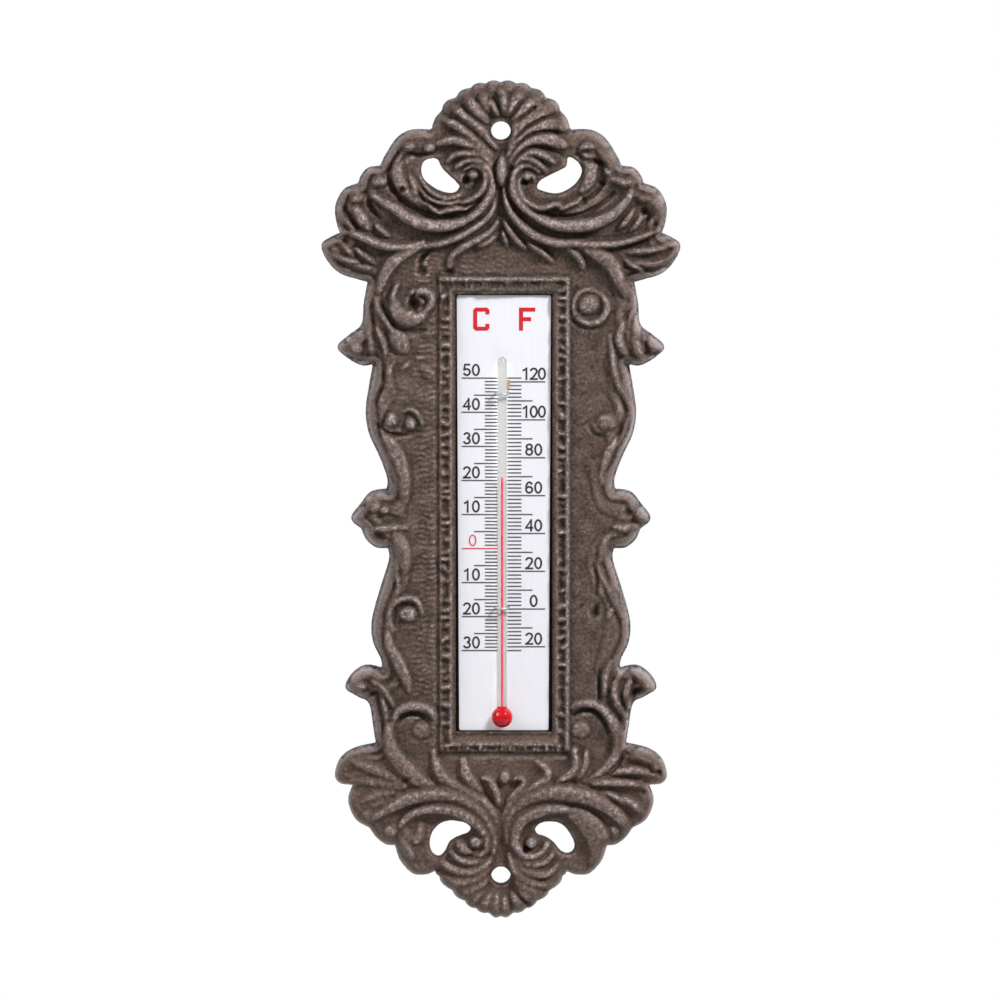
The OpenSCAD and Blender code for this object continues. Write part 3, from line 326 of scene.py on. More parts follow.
RIGHT_RIDGES = [
    (1.1, 13, [(0.3, -8.6), (0.2, -12.5), (0.1, -17.4)]),
    (1.1, 9.2, [(0.4, 13.4), (1.2, 9.4), (1.4, 5.8)]),
    (1.6, 9.4, [(6.2, 12.4), (4.4, 9), (2.6, 5.8)]),
    (2.0, 9.4, [(11.8, 10), (7.6, 6.2), (4.6, 3)]),
    (2.2, 9.5, [(17, 7.8), (10.9, 4.6), (6.4, 1.2), (3.2, -3)]),
    (1.9, 9.7, [(20.8, 2.2), (15.1, 2.3), (10.4, 0.6), (5.8, -3.1), (3, -6.8)]),
    (1.8, 9.9, [(21, -4.6), (15.6, -2.6), (10.4, -3), (6, -5.6), (3.2, -9.4), (1.3, -13.4)]),
    (1.0, 9.9, [(17.6, -10.4), (14.2, -7.9), (9.4, -6.9), (5.6, -8.8), (3, -12)]),
    (0.8, 10, [(14.9, -13.2), (12.3, -10.6), (9, -9), (5.8, -9.6), (3.2, -12.8)]),
    (1.2, 10.5, [(12.8, -13.4), (10, -11.4), (6.7, -11.5), (4.3, -13.9), (3.8, -17), (4.8, -21.2),
        (7.6, -25), (12.3, -28.6), (18.4, -31)]),
    (1.6, 10.8, [(7.6, -25), (12.3, -28.6), (18.4, -31), (25.9, -31.4), (32.4, -30), (38, -26.8),
        (41.8, -22.6), (43, -19.8)]),
    (0.8, 10, [(10.9, -16.2), (10.2, -14.1), (7.8, -13.9), (6, -16.1), (6.2, -19.7), (7.6, -22.4),
        (10.6, -24.6), (13.7, -25.4), (18.4, -24.2), (20.3, -25.4), (23, -24.4), (26.8, -22.6)]),
    (1.1, 10.2, [(1.6, -14.6), (1.2, -20.7), (3, -26.3), (6.7, -31), (11.4, -34.7), (18.4, -37.1),
        (25.4, -37.3), (32.4, -37.7), (39.5, -37.2), (45.5, -35.4), (52, -33)]),
    (1.9, 9.8, [(20.7, -37.1), (27.8, -38.2), (33.4, -41.3), (37.1, -45), (39.2, -49.4), (41.6, -54.6)]),
    (1.0, 9, [(19.8, -37.3), (24, -39.9), (26.3, -42.7), (27, -45.6)]),
    (0.8, 8.8, [(8.4, -36.9), (13.2, -39.9), (17, -43.4)]),
    (0.8, 9, [(0.8, -29), (3.4, -33.8), (8.2, -39.2)]),
    (0.5, 8.8, [(0.5, -32.6), (1.2, -35), (2.2, -38)]),
    (1.4, 8.9, [(27.6, -7.6), (29.6, -11.6), (29.4, -16), (26.8, -19.8)]),
    (1.0, 9, [(32.4, -6.4), (35.4, -9.4), (36.6, -13.4)]),
    (0.8, 8.6, [(30.6, -5.6), (28.4, -4.8), (26.2, -5.8)]),
    (1.0, 8.8, [(36.4, -15.6), (39.4, -16.4), (42.8, -18.6)]),
    (1.1, 8.9, [(45.6, -22.4), (49.4, -22.6), (52.2, -26), (51.6, -30)]),
    (0.9, 8.6, [(43.8, -26), (41.8, -29.1), (39, -32.4)]),
    (0.8, 8.4, [(46.6, -27.6), (45, -30.6), (42.6, -33.4)]),
    (0.9, 8.6, [(41.8, -40.2), (50.2, -39.4), (57.4, -37.6)]),
    (0.7, 8.5, [(43.2, -43.6), (51.2, -44), (56.4, -41.6)]),
    (0.7, 8.4, [(40.6, -42.6), (44.1, -45), (49, -47.6)]),
    (0.7, 8, [(33.4, -54.6), (29.4, -52.8), (25.6, -54.2), (23.9, -58.3), (25.2, -61.8)]),
    (1.2, 8.3, [(32.6, -53.8), (34.8, -56.8), (34.8, -60.4), (32.6, -63.2), (29, -64), (25.4, -62.2)]),
    (1.3, 8.6, [(40.4, -63.8), (39.3, -69.4), (41.7, -74.6)]),
    (1.3, 8.7, [(45.2, -62.6), (44.5, -69.6), (46.9, -76)]),
    (0.6, 8, [(42.6, -64), (42, -69.4), (44, -74)]),
    (0.9, 8.3, [(36, -67.2), (36.8, -72.6), (37.7, -79.4), (39.4, -84.7), (42.2, -91.8)]),
    (1.2, 8, [(38.6, -101.6), (36, -106), (34.2, -111.4), (33.4, -117)]),
    (1.2, 8.2, [(37, -131.2), (41, -131.6), (45, -130.6)]),
    (1.0, 8, [(36.4, -133.6), (34, -137.4), (33, -143)]),
    (0.9, 8, [(33.8, -148), (37.1, -154.6), (39.6, -161.6)]),
    (0.9, 7.6, [(38.6, -157.6), (36.4, -159.4), (35.6, -162.6)]),
    (1.0, 8.2, [(36.6, -176), (34.8, -181), (34.4, -188)]),
    (1.1, 8.6, [(40, -179.6), (37.8, -184.6), (38.6, -189.6), (41.2, -194.6)]),
    (0.9, 8.6, [(43.6, -181.4), (41.6, -186), (42.4, -191.6)]),
    (1.5, 8.8, [(44.4, -180.2), (47, -181.4), (49.8, -184.6)]),
    (1.4, 8.9, [(22.4, -192), (26.1, -190.1), (30.3, -190), (34.2, -192.1), (37.1, -196), (39.1, -200.6),
        (38.8, -206), (35.8, -210.6), (30.6, -214.8), (24.6, -217.8)]),
    (0.8, 8.2, [(42.4, -197), (41.4, -202), (38.6, -208.6), (34.8, -213.4)]),
    (1.1, 9, [(22, -205), (24.9, -208), (24.6, -212.2), (21.1, -215), (17.2, -217)]),
    (1.0, 9, [(28.4, -206), (28, -210), (26.4, -213.6), (24.6, -216)]),
    (1.3, 9.4, [(12.4, -209.8), (15.4, -212.3), (14.8, -215.6), (10.7, -218.5), (6.3, -220.9),
        (3.3, -223.9), (1.4, -228.6), (0.9, -234)]),
    (0.9, 9, [(3.3, -215.8), (6.6, -214.9), (7.6, -216.9), (5, -219.9), (2.4, -222.9), (0.9, -226)]),
    (1.7, 10.4, [(2.4, -236), (2.2, -230.6), (4.2, -225.6), (8.5, -222), (14.6, -220), (20.7, -219.7),
        (26.8, -220.6), (32.9, -223), (38.1, -226.6), (41.4, -230.6), (41.4, -234.4)]),
    (1.3, 10, [(8.4, -240), (5.4, -238.4), (4.6, -234), (6.6, -229), (10.7, -226.4), (16.3, -224.8),
        (21.6, -225.2), (25.9, -227.4)]),
    (2.0, 9.8, [(21.6, -225.6), (25.9, -227.4), (29.8, -230.8), (32.3, -235), (32.7, -239.4),
        (31, -243.6)]),
    (0.9, 9.6, [(5.6, -231.6), (4.9, -236.2), (7, -240.2), (10.6, -241.2), (13.8, -239.4),
        (15.4, -236.8)]),
    (0.8, 9.5, [(4.6, -239.6), (7.4, -242.8), (11.4, -243.8), (15, -242.6), (17, -240.4)]),
    (0.9, 9.5, [(3.6, -240), (6.9, -244.9), (11.1, -246.7), (15.5, -246.5), (18.6, -244.2)]),
    (0.9, 9.4, [(2.8, -239.9), (4.6, -244.9), (7.6, -248.4), (12, -250.4), (17.4, -250.8)]),
    (0.9, 9.3, [(4.6, -247.4), (7.6, -251), (12, -253.4), (15.6, -253.8)]),
    (0.8, 9.2, [(5.9, -250.8), (8.1, -253.6), (12.8, -256.6)]),
    (0.8, 9.1, [(3.7, -253.4), (5.9, -257), (9.2, -259)]),
    (0.8, 9, [(0.9, -254.7), (1.4, -258), (2.4, -260.6)]),
    (1.0, 8.8, [(27.2, -217.3), (33.3, -216.4), (39.8, -216.4), (45.5, -217.1), (49, -218.6)]),
    (1.0, 8.8, [(36, -213.6), (39.8, -212.7), (45.5, -212.3), (51, -213.8)]),
    (1.1, 8.8, [(42.6, -208), (47, -207.8), (51.6, -210.4)]),
    (0.8, 8.6, [(33, -219.2), (38.4, -221.4), (42.4, -224.4)]),
    (0.9, 8.7, [(39.4, -220.8), (44.2, -223.8), (47.6, -227)]),
]

# Round bosses: radius across, radius up, height above the wall, centre
LEFT_BOSSES = [
    (2, 1.8, 9.4, (10.2, 9.7)), (1.9, 1.8, 9.4, (14, 6.8)), (1.8, 1.6, 9.4, (5.7, 11.6)),
    (1.1, 1.1, 8, (25.8, -56.7)), (1.9, 1.7, 10.2, (9, -14.2)), (2.4, 1.8, 9.2, (30.5, -4.8)),
    (2, 1.6, 9.2, (23.6, -5.4)), (2.6, 2.2, 9, (40.3, -16.6)), (2.5, 2.4, 9, (47.8, -21.8)),
    (2.7, 2.9, 8.8, (48.4, -72)), (2.4, 2.9, 8.4, (36.4, -95.8)), (2.1, 2.3, 8.6, (30, -96.9)),
    (2.6, 2.6, 8.8, (42, -124.4)), (1.9, 1.6, 8.6, (38.8, -125.6)), (3.2, 3, 8.4, (30.8, -160.2)),
    (2.3, 2.1, 9, (46.8, -184.2)), (3.9, 3.6, 7.5, (26.4, -199)), (2.4, 2.4, 10, (8.3, -236.2)),
    (2.6, 2.8, 7.6, (44.4, -227.4)), (2.8, 2.6, 7.6, (36.8, -232.6)),
]
RIGHT_BOSSES = [
    (1.6, 1.5, 9.3, (0.2, 13)), (2, 1.8, 9.3, (12, 8.6)), (1.7, 1.6, 10.2, (8.6, -14.8)),
    (2.1, 1.9, 9.5, (6, 11.2)), (1.8, 1.9, 9.4, (20.2, 1.4)), (2, 2.6, 9, (35.8, -12.6)),
    (2.3, 2.2, 8.8, (42.6, -17)), (2.4, 2.8, 8.7, (51.6, -24)), (4.1, 3.8, 8.4, (29, -57.6)),
    (2.8, 2.5, 8.8, (50.8, -70.8)), (3.9, 3.5, 8, (35.2, -96.6)), (2.4, 2.4, 8.8, (46.6, -127.2)),
    (2.4, 1.8, 8.6, (49, -184.2)), (3.9, 3.6, 7.6, (26.6, -198.8)), (2.2, 2.2, 10, (10.2, -236.4)),
    (1.7, 1.6, 9.2, (24.4, -206)), (2.6, 2.6, 7.8, (38, -232.6)), (1.6, 1.6, 8.8, (51.6, -211)),
    (2.1, 2.4, 9.2, (1.4, -214.6)),
]

# Incised lines: half width, depth, points
LEFT_GROOVES = [
    (0.7, 1.6, [(22.4, -38.8), (25, -41), (26.9, -44.2), (25.8, -47.6)]),
    (1.0, 1.8, [(35.6, -9), (37, -14), (35.8, -19), (31.6, -23.4), (25.6, -27), (19, -28.6), (13, -27.6),
        (9, -25)]),
    (0.8, 1.5, [(22.6, -7.4), (26.8, -7.8), (31, -8), (34.4, -11)]),
    (0.8, 1.4, [(44.4, -20), (43, -25), (39.6, -29)]),
    (0.7, 1.4, [(51, -25.4), (49.6, -29), (47, -32.4)]),
    (0.7, 1.4, [(27.6, -52), (29.4, -56), (28, -60.2), (25.4, -58.4)]),
    (0.8, 1.2, [(39.6, -54), (38.8, -60), (35.6, -64.6), (30, -66.8), (24.6, -66)]),
    (0.7, 1.4, [(51.2, -74.6), (47.4, -76.2), (44.2, -75.6)]),
    (0.7, 1.2, [(37.6, -93), (39.4, -98), (37, -100.4), (32, -100.6), (27.6, -99.6)]),
    (0.9, 1.2, [(34.8, -157.8), (35.8, -161), (35, -164.4)]),
    (0.8, 1.3, [(34.6, -196.6), (31.6, -193.8), (27.6, -193.4), (24.2, -195.4)]),
    (0.6, 1.2, [(44.8, -188.6), (41.4, -186.4), (40, -191)]),
]
RIGHT_GROOVES = [
    (0.55, 1.7, [(13.4, 9.5), (9, 6.5), (5.6, 3.8)]),
    (0.55, 1.7, [(19.2, 5.4), (13.7, 4.2), (8.6, 1.4), (5, -2.4)]),
    (0.6, 1.8, [(22, -0.9), (17.5, 0.2), (12.3, -0.2), (8.1, -2.1), (4.8, -5.4), (2.5, -9.2)]),
    (0.6, 1.8, [(20.4, -7.9), (15.6, -5.2), (10.4, -4.9), (6.2, -7.2), (3.9, -10)]),
    (0.6, 1.6, [(7.8, 11.4), (5.4, 8.4), (3.6, 5.4)]),
    (0.9, 1.8, [(25, -7.4), (28, -9.4), (33.6, -10.6), (37, -14.4)]),
    (0.8, 1.5, [(34.2, -15.6), (33, -18.4), (30.4, -21.4), (26.8, -23.6)]),
    (0.9, 1.6, [(14, -27.4), (20, -28.6), (27, -27.6), (33, -24.4), (37.6, -20.6)]),
    (0.8, 1.5, [(47.8, -25.6), (49.4, -28), (47, -31)]),
    (0.8, 1.4, [(36.6, -38.9), (44.1, -37.8), (50.6, -35.8)]),
    (0.9, 1.6, [(41.6, -45.2), (48.6, -46.8), (54.6, -45), (58, -41)]),
    (0.7, 1.4, [(43.4, -54.6), (43, -59.4), (40.6, -62.6)]),
    (0.8, 1.5, [(48.2, -71.2), (50, -74.2), (53, -72.6)]),
    (0.6, 1.2, [(25, -51.8), (22.6, -57), (23.6, -62.6), (28.6, -65.2), (33.6, -64.2), (36.6, -60)]),
    (0.9, 0.7, [(29.2, -96.6), (30.8, -100), (34.2, -101.6)]),
    (0.7, 1.4, [(42.6, -92), (42.4, -97.6), (40.6, -102.6), (37.4, -108.4)]),
    (0.7, 1.3, [(30.7, -143.6), (32, -149), (31.6, -154)]),
    (1.3, 1.2, [(32, -157.6), (30.6, -161.6)]),
    (0.7, 1.4, [(32.9, -179), (33, -184), (32.8, -189.6)]),
    (0.9, 1.5, [(47.4, -187), (44.6, -185.6), (44.4, -190)]),
    (0.9, 1.6, [(23.4, -194.6), (27, -192.4), (31, -192.6), (34.2, -195.6), (36.2, -200)]),
    (0.7, 1.3, [(41.4, -204.6), (39.4, -209.6), (36.6, -213)]),
]

# Round hollows: radius, depth, centre
LEFT_HOLLOWS = [
    (1.6, 2, (11.2, -16)), (1.4, 1.6, (32.6, -19.3)), (2.4, 2.2, (28.8, -57.6)), (2, 1.4, (26.2, -46.6)),
    (1.6, 1.2, (16.9, -47)), (2.6, 1.4, (40.4, -134.8)), (1.2, 1.4, (31.2, -215.4)),
]
RIGHT_HOLLOWS = [
    (1.2, 1.8, (7.8, -17)), (1.3, 1.8, (33.4, -17.4)), (1.4, 1.8, (27.2, -23.2)),
    (1.7, 1.6, (47.6, -26.6)), (1.5, 0.9, (42.4, -126.8)), (1.6, 1.2, (46.9, -185.8)),
    (1.3, 1.6, (8.4, -238.6)), (1.6, 1.6, (31.2, -160.2)), (1.2, 1.4, (52.6, -213.4)),
]

# Profile of the casting inwards from its edge: distance from the edge, height above the wall
RIM_PROFILE = [(0, 2.4), (0.8, 3.8), (1.8, 5.2), (2.7, 6.2), (3.1, 6.1), (3.6, 5.6), (4.2, 5.8), (5.2, 6.3),
               (6.8, 6.4), (7.4, 6.1), (7.8, 5.8), (8.6, 6)]
# Broken crevice inside the rim: its distance from the edge, half width and depth, and the share of its half
# width over which it is deepest
CREVICE_AT = 3.4
CREVICE_W = 0.6
CREVICE_D = 1.5
CREVICE_FLOOR = 0.3
# Where that crevice is shallower, round the small side lobes, as (height up, share)
CREVICE_SHARE = [(-212, 0.1), (-204, 0.4), (-200, 0.7), (-190, 0.15), (-178, 0.15), (-172, 0.4), (-142, 0.4),
                 (-137, 0.1), (-120, 0.1), (-112, 0.7), (-82, 0.9), (-77, 0.2), (-66, 0.2), (-60, 0.6),
                 (-50, 0.4),
                 (-38, 0.3), (-32, 0.6)]
# Chamfer that takes the rim's place along the edges of both fans, and where it does, as (height up, share)
CHAMFER = [(0, 2.4), (0.8, 3.9), (1.8, 5.4), (2.6, 6), (4, 5.8)]
CHAMFERED = [(-264, 1), (-238, 1), (-228, 0.2), (-206, 0), (-10, 0), (0, 1)]
# How wide the rim is from the foot's tip up to the crest's top, as (height up, share)
RIM_SHARE = [(-264, 0.5), (-212, 0.5), (-200, 0.9), (-150, 1.05), (-60, 1.05), (-48, 0.8), (-2, 0.75),
             (4, 0.5)]
# How pale the rim is at each distance from the edge, times its width's share
# Near the very edge this paleness is a painted reflection of the white surroundings; further in it is the
# rim's worn colour
RIM_LIGHT = [(0, 1), (1, 1), (1.6, 0.6), (2.4, 0.2), (3.2, 0)]
# How high anything may stand at each distance from the edge
EDGE_LIMIT = [(0, 2.4), (0.5, 5.4), (1.2, 7), (2.4, 8.4), (4, 10), (6, 12)]

# Profile of the window's border, outwards from the edge of the plate's pocket: grooved on the left and below,
# ribbed on the right and above
GROOVED = [(0, 5.2), (0.2, 5.6), (1.7, 7.2), (1.9, 6.8), (4.9, 6.8), (5.3, 6), (5.6, 5), (6, 5), (6.5, 6)]
RIBBED = [(0, 5.2), (0.2, 5.6), (1.7, 7.1), (1.9, 6.6), (4.2, 6.5), (4.6, 7.3), (5.1, 7.5), (5.6, 7.1),
          (6, 5.7), (6.5, 6)]
# Where the sill's own widths fall on those profiles: from the pocket down, as (real, profile)
SILL = [(0, 0), (4.4, 1.8), (4.8, 2), (6.1, 4.6), (6.5, 5.3), (8, 6.2), (9, 7)]
# Where the border gives way to the field
BORDER_W = 6.6
BORDER_FADE = 0.5
# Bars of the beaded moulding: height, floor of the pits between them, pitch, width and flanks
BEAD_TOP = 7.5
BEAD_FLOOR = 5.4
BEAD_PITCH = 3.25
BEAD_BAR = 1.5
BEAD_FLANK = 0.7
# Where the bars start and end outwards from the pocket, where a rib ends them sooner, and how softly
BEAD_FROM = 1.9
BEAD_TO = 4.9
RIB_FROM = 4.3
BEAD_FADE = 0.4
# Pitch of the smaller bars above and below the window
SPECK_PITCH = 1.6

# Where the open field starts inside the edge
FIELD_FROM = 3.8
FIELD_RUN = 1.5
# Peening of the field: its height, how much higher it is near the window and how far that reaches
PEEN_H = 0.2
PEEN_NEAR = 0.35
PEEN_REACH = 15
PEEN_FADE = 3
# Share of the peening that the foot has, and how far under the pocket the foot starts
PEEN_FOOT = 0.4
FOOT_DROP = 4
# Lowest and highest mark of the peening, as shares of its usual height
PEEN_RANGE = (-0.5, 2)
# Level dashes of the peening left of the window: pitch up, length across and seed
PEEN_DASHES = (1.7, 2, 3)
# How narrow a band of lengths the random waves and dashes keep
WAVE_BAND = 0.4
DASH_BAND = 0.3
# Random unevenness of each form: its usual height or share, the length of its waves, and its seed
UNEVEN = {
    "rim width": (0.1, 14, 37),
    "crevice": (0.5, 7, 43),
    "bead line": (0.7, 9, 23),
    "bead wear": (0.5, 5, 29),
    "bead grain": (0.3, 1.3, 31),
    "right field": (0.6, 1.4, 3),
    "field": (0.18, 9, 5),
    "skin": (0.1, 1.1, 11),
    "scrolls": (0.14, 2.3, 41),
    "border": (0.04, 1.2, 17),
}
# Forms that come and go at random: their usual share, their least and their most, and the most of the bars
BROKEN_USUAL = 0.7
BROKEN_LEAST = 0.1
BROKEN_MOST = 1
BEAD_MOST = 1.15

# Flat land round each screw hole: radius, height and draft, and the pillar behind it
LAND_R = 4.4
LAND_H = 6.8
LAND_DRAFT = 0.9
PILLAR_R = 4.8
# Rounded front edges of the openings and the bores: how far in they start, and how far they fall
LIP_ROUND = (1.2, 1.1)
BORE_ROUND = (0.7, 0.7)

# Painted sheen of the wax: on bosses higher than a height, and on the border above a height, most below the
# window
BOSS_GLEAM = 0.35
BOSS_GLEAM_FROM = 8.2
BORDER_GLEAM = 0.45
SILL_GLEAM = 1.2
BORDER_GLEAM_FROM = 6.8
# How much darker the casting is in the field right of the window, and in the border above it, where it is
# painted shade
FIELD_SHADE = 0.2
TOP_SHADE = 0.75
# How wide the near and the wide surroundings are taken from which hollows and crests are told
NEAR_ROUNDS = 6
WIDE_ROUNDS = 60
# Depths under the near and the wide surroundings at which the hollows' painted shade is full, and what it
# needs to start
HOLLOW_SHADE_NEAR = 0.24
HOLLOW_SHADE_WIDE = 2.2
HOLLOW_SHADE_START = 0.05
# Share of the hollows' painted shade that the foot has
FOOT_HOLLOW_SHADE = 0.3
# Heights over the near and the wide surroundings at which wear is full, and what it needs to start
WEAR_NEAR = 0.45
WEAR_WIDE = 6
WEAR_START = 0.1
# Distance from the edge over which wear sets in, and its share at the edge
WEAR_RUN = 2.5
WEAR_AT_EDGE = 0.2

bores = [m for m in frame["record"]["mounts"] if m["kind"] == "bore"]
BORE_R = bores[0]["dims"]["r_mm"]
HOLE_Z = sorted((m["pos_m"][2] / MM for m in bores), reverse=True)
POCKET_LEFT = WINDOW_X - PLATE_W / 2 - PLATE_GAP
POCKET_RIGHT = WINDOW_X + PLATE_W / 2 + PLATE_GAP
POCKET_BOTTOM = PLATE_BOTTOM - PLATE_GAP
POCKET_TOP = PLATE_TOP + PLATE_GAP


def across(x):
    """Place across the casting of a drawn point, which moves outwards with the window's real border."""
    grow = PLATE_W / 2 + PLATE_GAP + SLOPE_W + BEAD_W - DRAWN_BORDER
    return x + math.copysign(grow, x) * min(1, abs(x) / DRAWN_BORDER)


def up(z):
    """Place up the casting of a drawn point, which moves with the window and the lower screw hole."""
    drawn = (DRAWN_LOWER_HOLE - FAR, DRAWN_LOWER_HOLE, DRAWN_WINDOW_BOTTOM, DRAWN_WINDOW_TOP, 0, FAR)
    real = (HOLE_Z[1] - FAR, HOLE_Z[1], PLATE_BOTTOM, PLATE_TOP, 0, FAR)
    return float(np.interp(z, drawn, real))


def placed(points, side=1):
    """Drawn points where they lie on the casting, on its right (1) or left (-1) side."""
    return np.array([(side * across(x), up(z)) for x, z in points])


def smooth_line(points, steps, closed=False):
    """Points on a smooth curve that passes through the given ones."""
    given = [tuple(p) for p in points]
    if closed:
        given = [given[-1]] + given + given[:2]
    else:
        given = [given[0]] + given + [given[-1]]
    t = np.linspace(0, 1, steps, endpoint=False)[:, None]
    parts = []
    for i in range(len(given) - 3):
        a, b, c, d = (np.array(p) for p in given[i:i + 4])
        parts.append(0.5 * (2 * b + (c - a) * t + (2 * a - 5 * b + 4 * c - d) * t ** 2
                            + (3 * b - a - 3 * c + d) * t ** 3))
    if not closed:
        parts.append(np.array(given[-1:]))
    return np.vstack(parts)


def even_line(points, spacing):
    """The same path with its points at even distances."""
    steps = np.hypot(*np.diff(points, axis=0).T)
    run = np.concatenate([[0], np.cumsum(steps)])
    places = np.linspace(0, run[-1], max(2, int(run[-1] / spacing) + 1))
    return np.stack([np.interp(places, run, points[:, k]) for k in (0, 1)], axis=1)


def outline_loop():
    """The casting's whole outline, down its right-hand side and back up its left."""
    pieces = [smooth_line(placed(lobe), CURVE_STEPS)[:-1] for lobe in LOBES]
    right = np.vstack(pieces + [placed(LOBES[-1][-1:])])
    left = right[1:-1][::-1] * (-1, 1)
    return np.vstack([right, left])


def opening_loops():
    """The openwork's outlines on both sides."""
    return [smooth_line(placed(points, side), OPENING_STEPS, closed=True)
            for side, outlines in OPENINGS.items() for points in outlines]


def inside_mask(loop, xs, zs):
    """Which grid points lie inside a closed loop, from how often a line up to them crosses it."""
    count = np.zeros((len(xs), len(zs) + 1), int)
    for (ax, az), (bx, bz) in zip(loop, np.roll(loop, -1, axis=0)):
        low, high = sorted((ax, bx))
        columns = np.arange(np.searchsorted(xs, low), np.searchsorted(xs, high))
        if len(columns):
            z = az + (bz - az) * (xs[columns] - ax) / (bx - ax)
            np.add.at(count, (columns, np.searchsorted(zs, z)), 1)
    return np.cumsum(count, axis=1)[:, :-1] % 2 == 1


def edge_distance(loop, xs, zs, reach):
    """Distance of each grid point from a closed loop, positive inside it, and never beyond a reach."""
    far = np.full((len(xs), len(zs)), float(reach))
    for a, b in zip(loop, np.roll(loop, -1, axis=0)):
        i0, i1 = np.searchsorted(xs, (min(a[0], b[0]) - reach, max(a[0], b[0]) + reach))
        k0, k1 = np.searchsorted(zs, (min(a[1], b[1]) - reach, max(a[1], b[1]) + reach))
        x = xs[i0:i1, None] - a[0]
        z = zs[None, k0:k1] - a[1]
        dx, dz = b - a
        t = np.clip((x * dx + z * dz) / (dx * dx + dz * dz), 0, 1)
        window = far[i0:i1, k0:k1]
        np.minimum(window, np.hypot(x - t * dx, z - t * dz), out=window)
    return np.where(inside_mask(loop, xs, zs), far, -far)


def even_steps(stops, spacing):
    """Coordinates at about even distances that pass through each of the stops."""
    parts = [np.linspace(a, b, int(round((b - a) / spacing)), endpoint=False)
             for a, b in zip(stops, stops[1:])]
    return np.concatenate(parts + [stops[-1:]])


def soften(height, rounds):
    """Height averaged with its neighbours, several times over."""
    for _ in range(rounds):
        for axis in (0, 1):
            height = (np.roll(height, 1, axis) + 2 * height + np.roll(height, -1, axis)) / 4
    return height


def waves(shape, form):
    """Random waves of one form's height and length."""
    height, length, seed = UNEVEN[form]
    pace = np.hypot(np.fft.fftfreq(shape[0], GRID)[:, None], np.fft.rfftfreq(shape[1], GRID)[None, :])
    return height * grained(shape, seed, np.exp(-((pace * length - 1) / WAVE_BAND) ** 2))


def broken(shape, form, most):
    """Random shares of a form that comes and goes."""
    return np.clip(BROKEN_USUAL + waves(shape, form), BROKEN_LEAST, most)


def dashes(shape, pitch, length, seed):
    """Random short level dashes at about one pitch up, of about one length across, in millimetres."""
    level = np.exp(-(np.fft.fftfreq(shape[0], GRID)[:, None] * length) ** 2)
    upright = np.exp(-((np.fft.rfftfreq(shape[1], GRID)[None, :] * pitch - 1) / DASH_BAND) ** 2)
    return grained(shape, seed, level * upright)


def grained(shape, seed, share):
    """Random heights from one seed that keep a share of each frequency, and whose usual height is one."""
    grain = np.fft.rfft2(np.random.default_rng(seed).standard_normal(shape)) * share
    result = np.fft.irfft2(grain, shape)
    return result / result.std()


def profile(points, distance):
    """Height that a list of (distance, height) pairs gives at each distance."""
    places, heights = zip(*points)
    return np.interp(distance, places, heights)


def rising(values, start, run):
    """A share that rises from 0 at the start to 1 a run further on."""
    return np.clip((values - start) / run, 0, 1)


def fading(values, end, run):
    """A share that falls from 1 to 0 over the last run before the end."""
    return np.clip((end - values) / run, 0, 1)


def rounding(distance, reach, depth):
    """How far a rounded edge has fallen at each distance inwards from it."""
    return depth * (1 - np.sqrt(1 - np.clip(1 - distance / reach, 0, 1) ** 2))


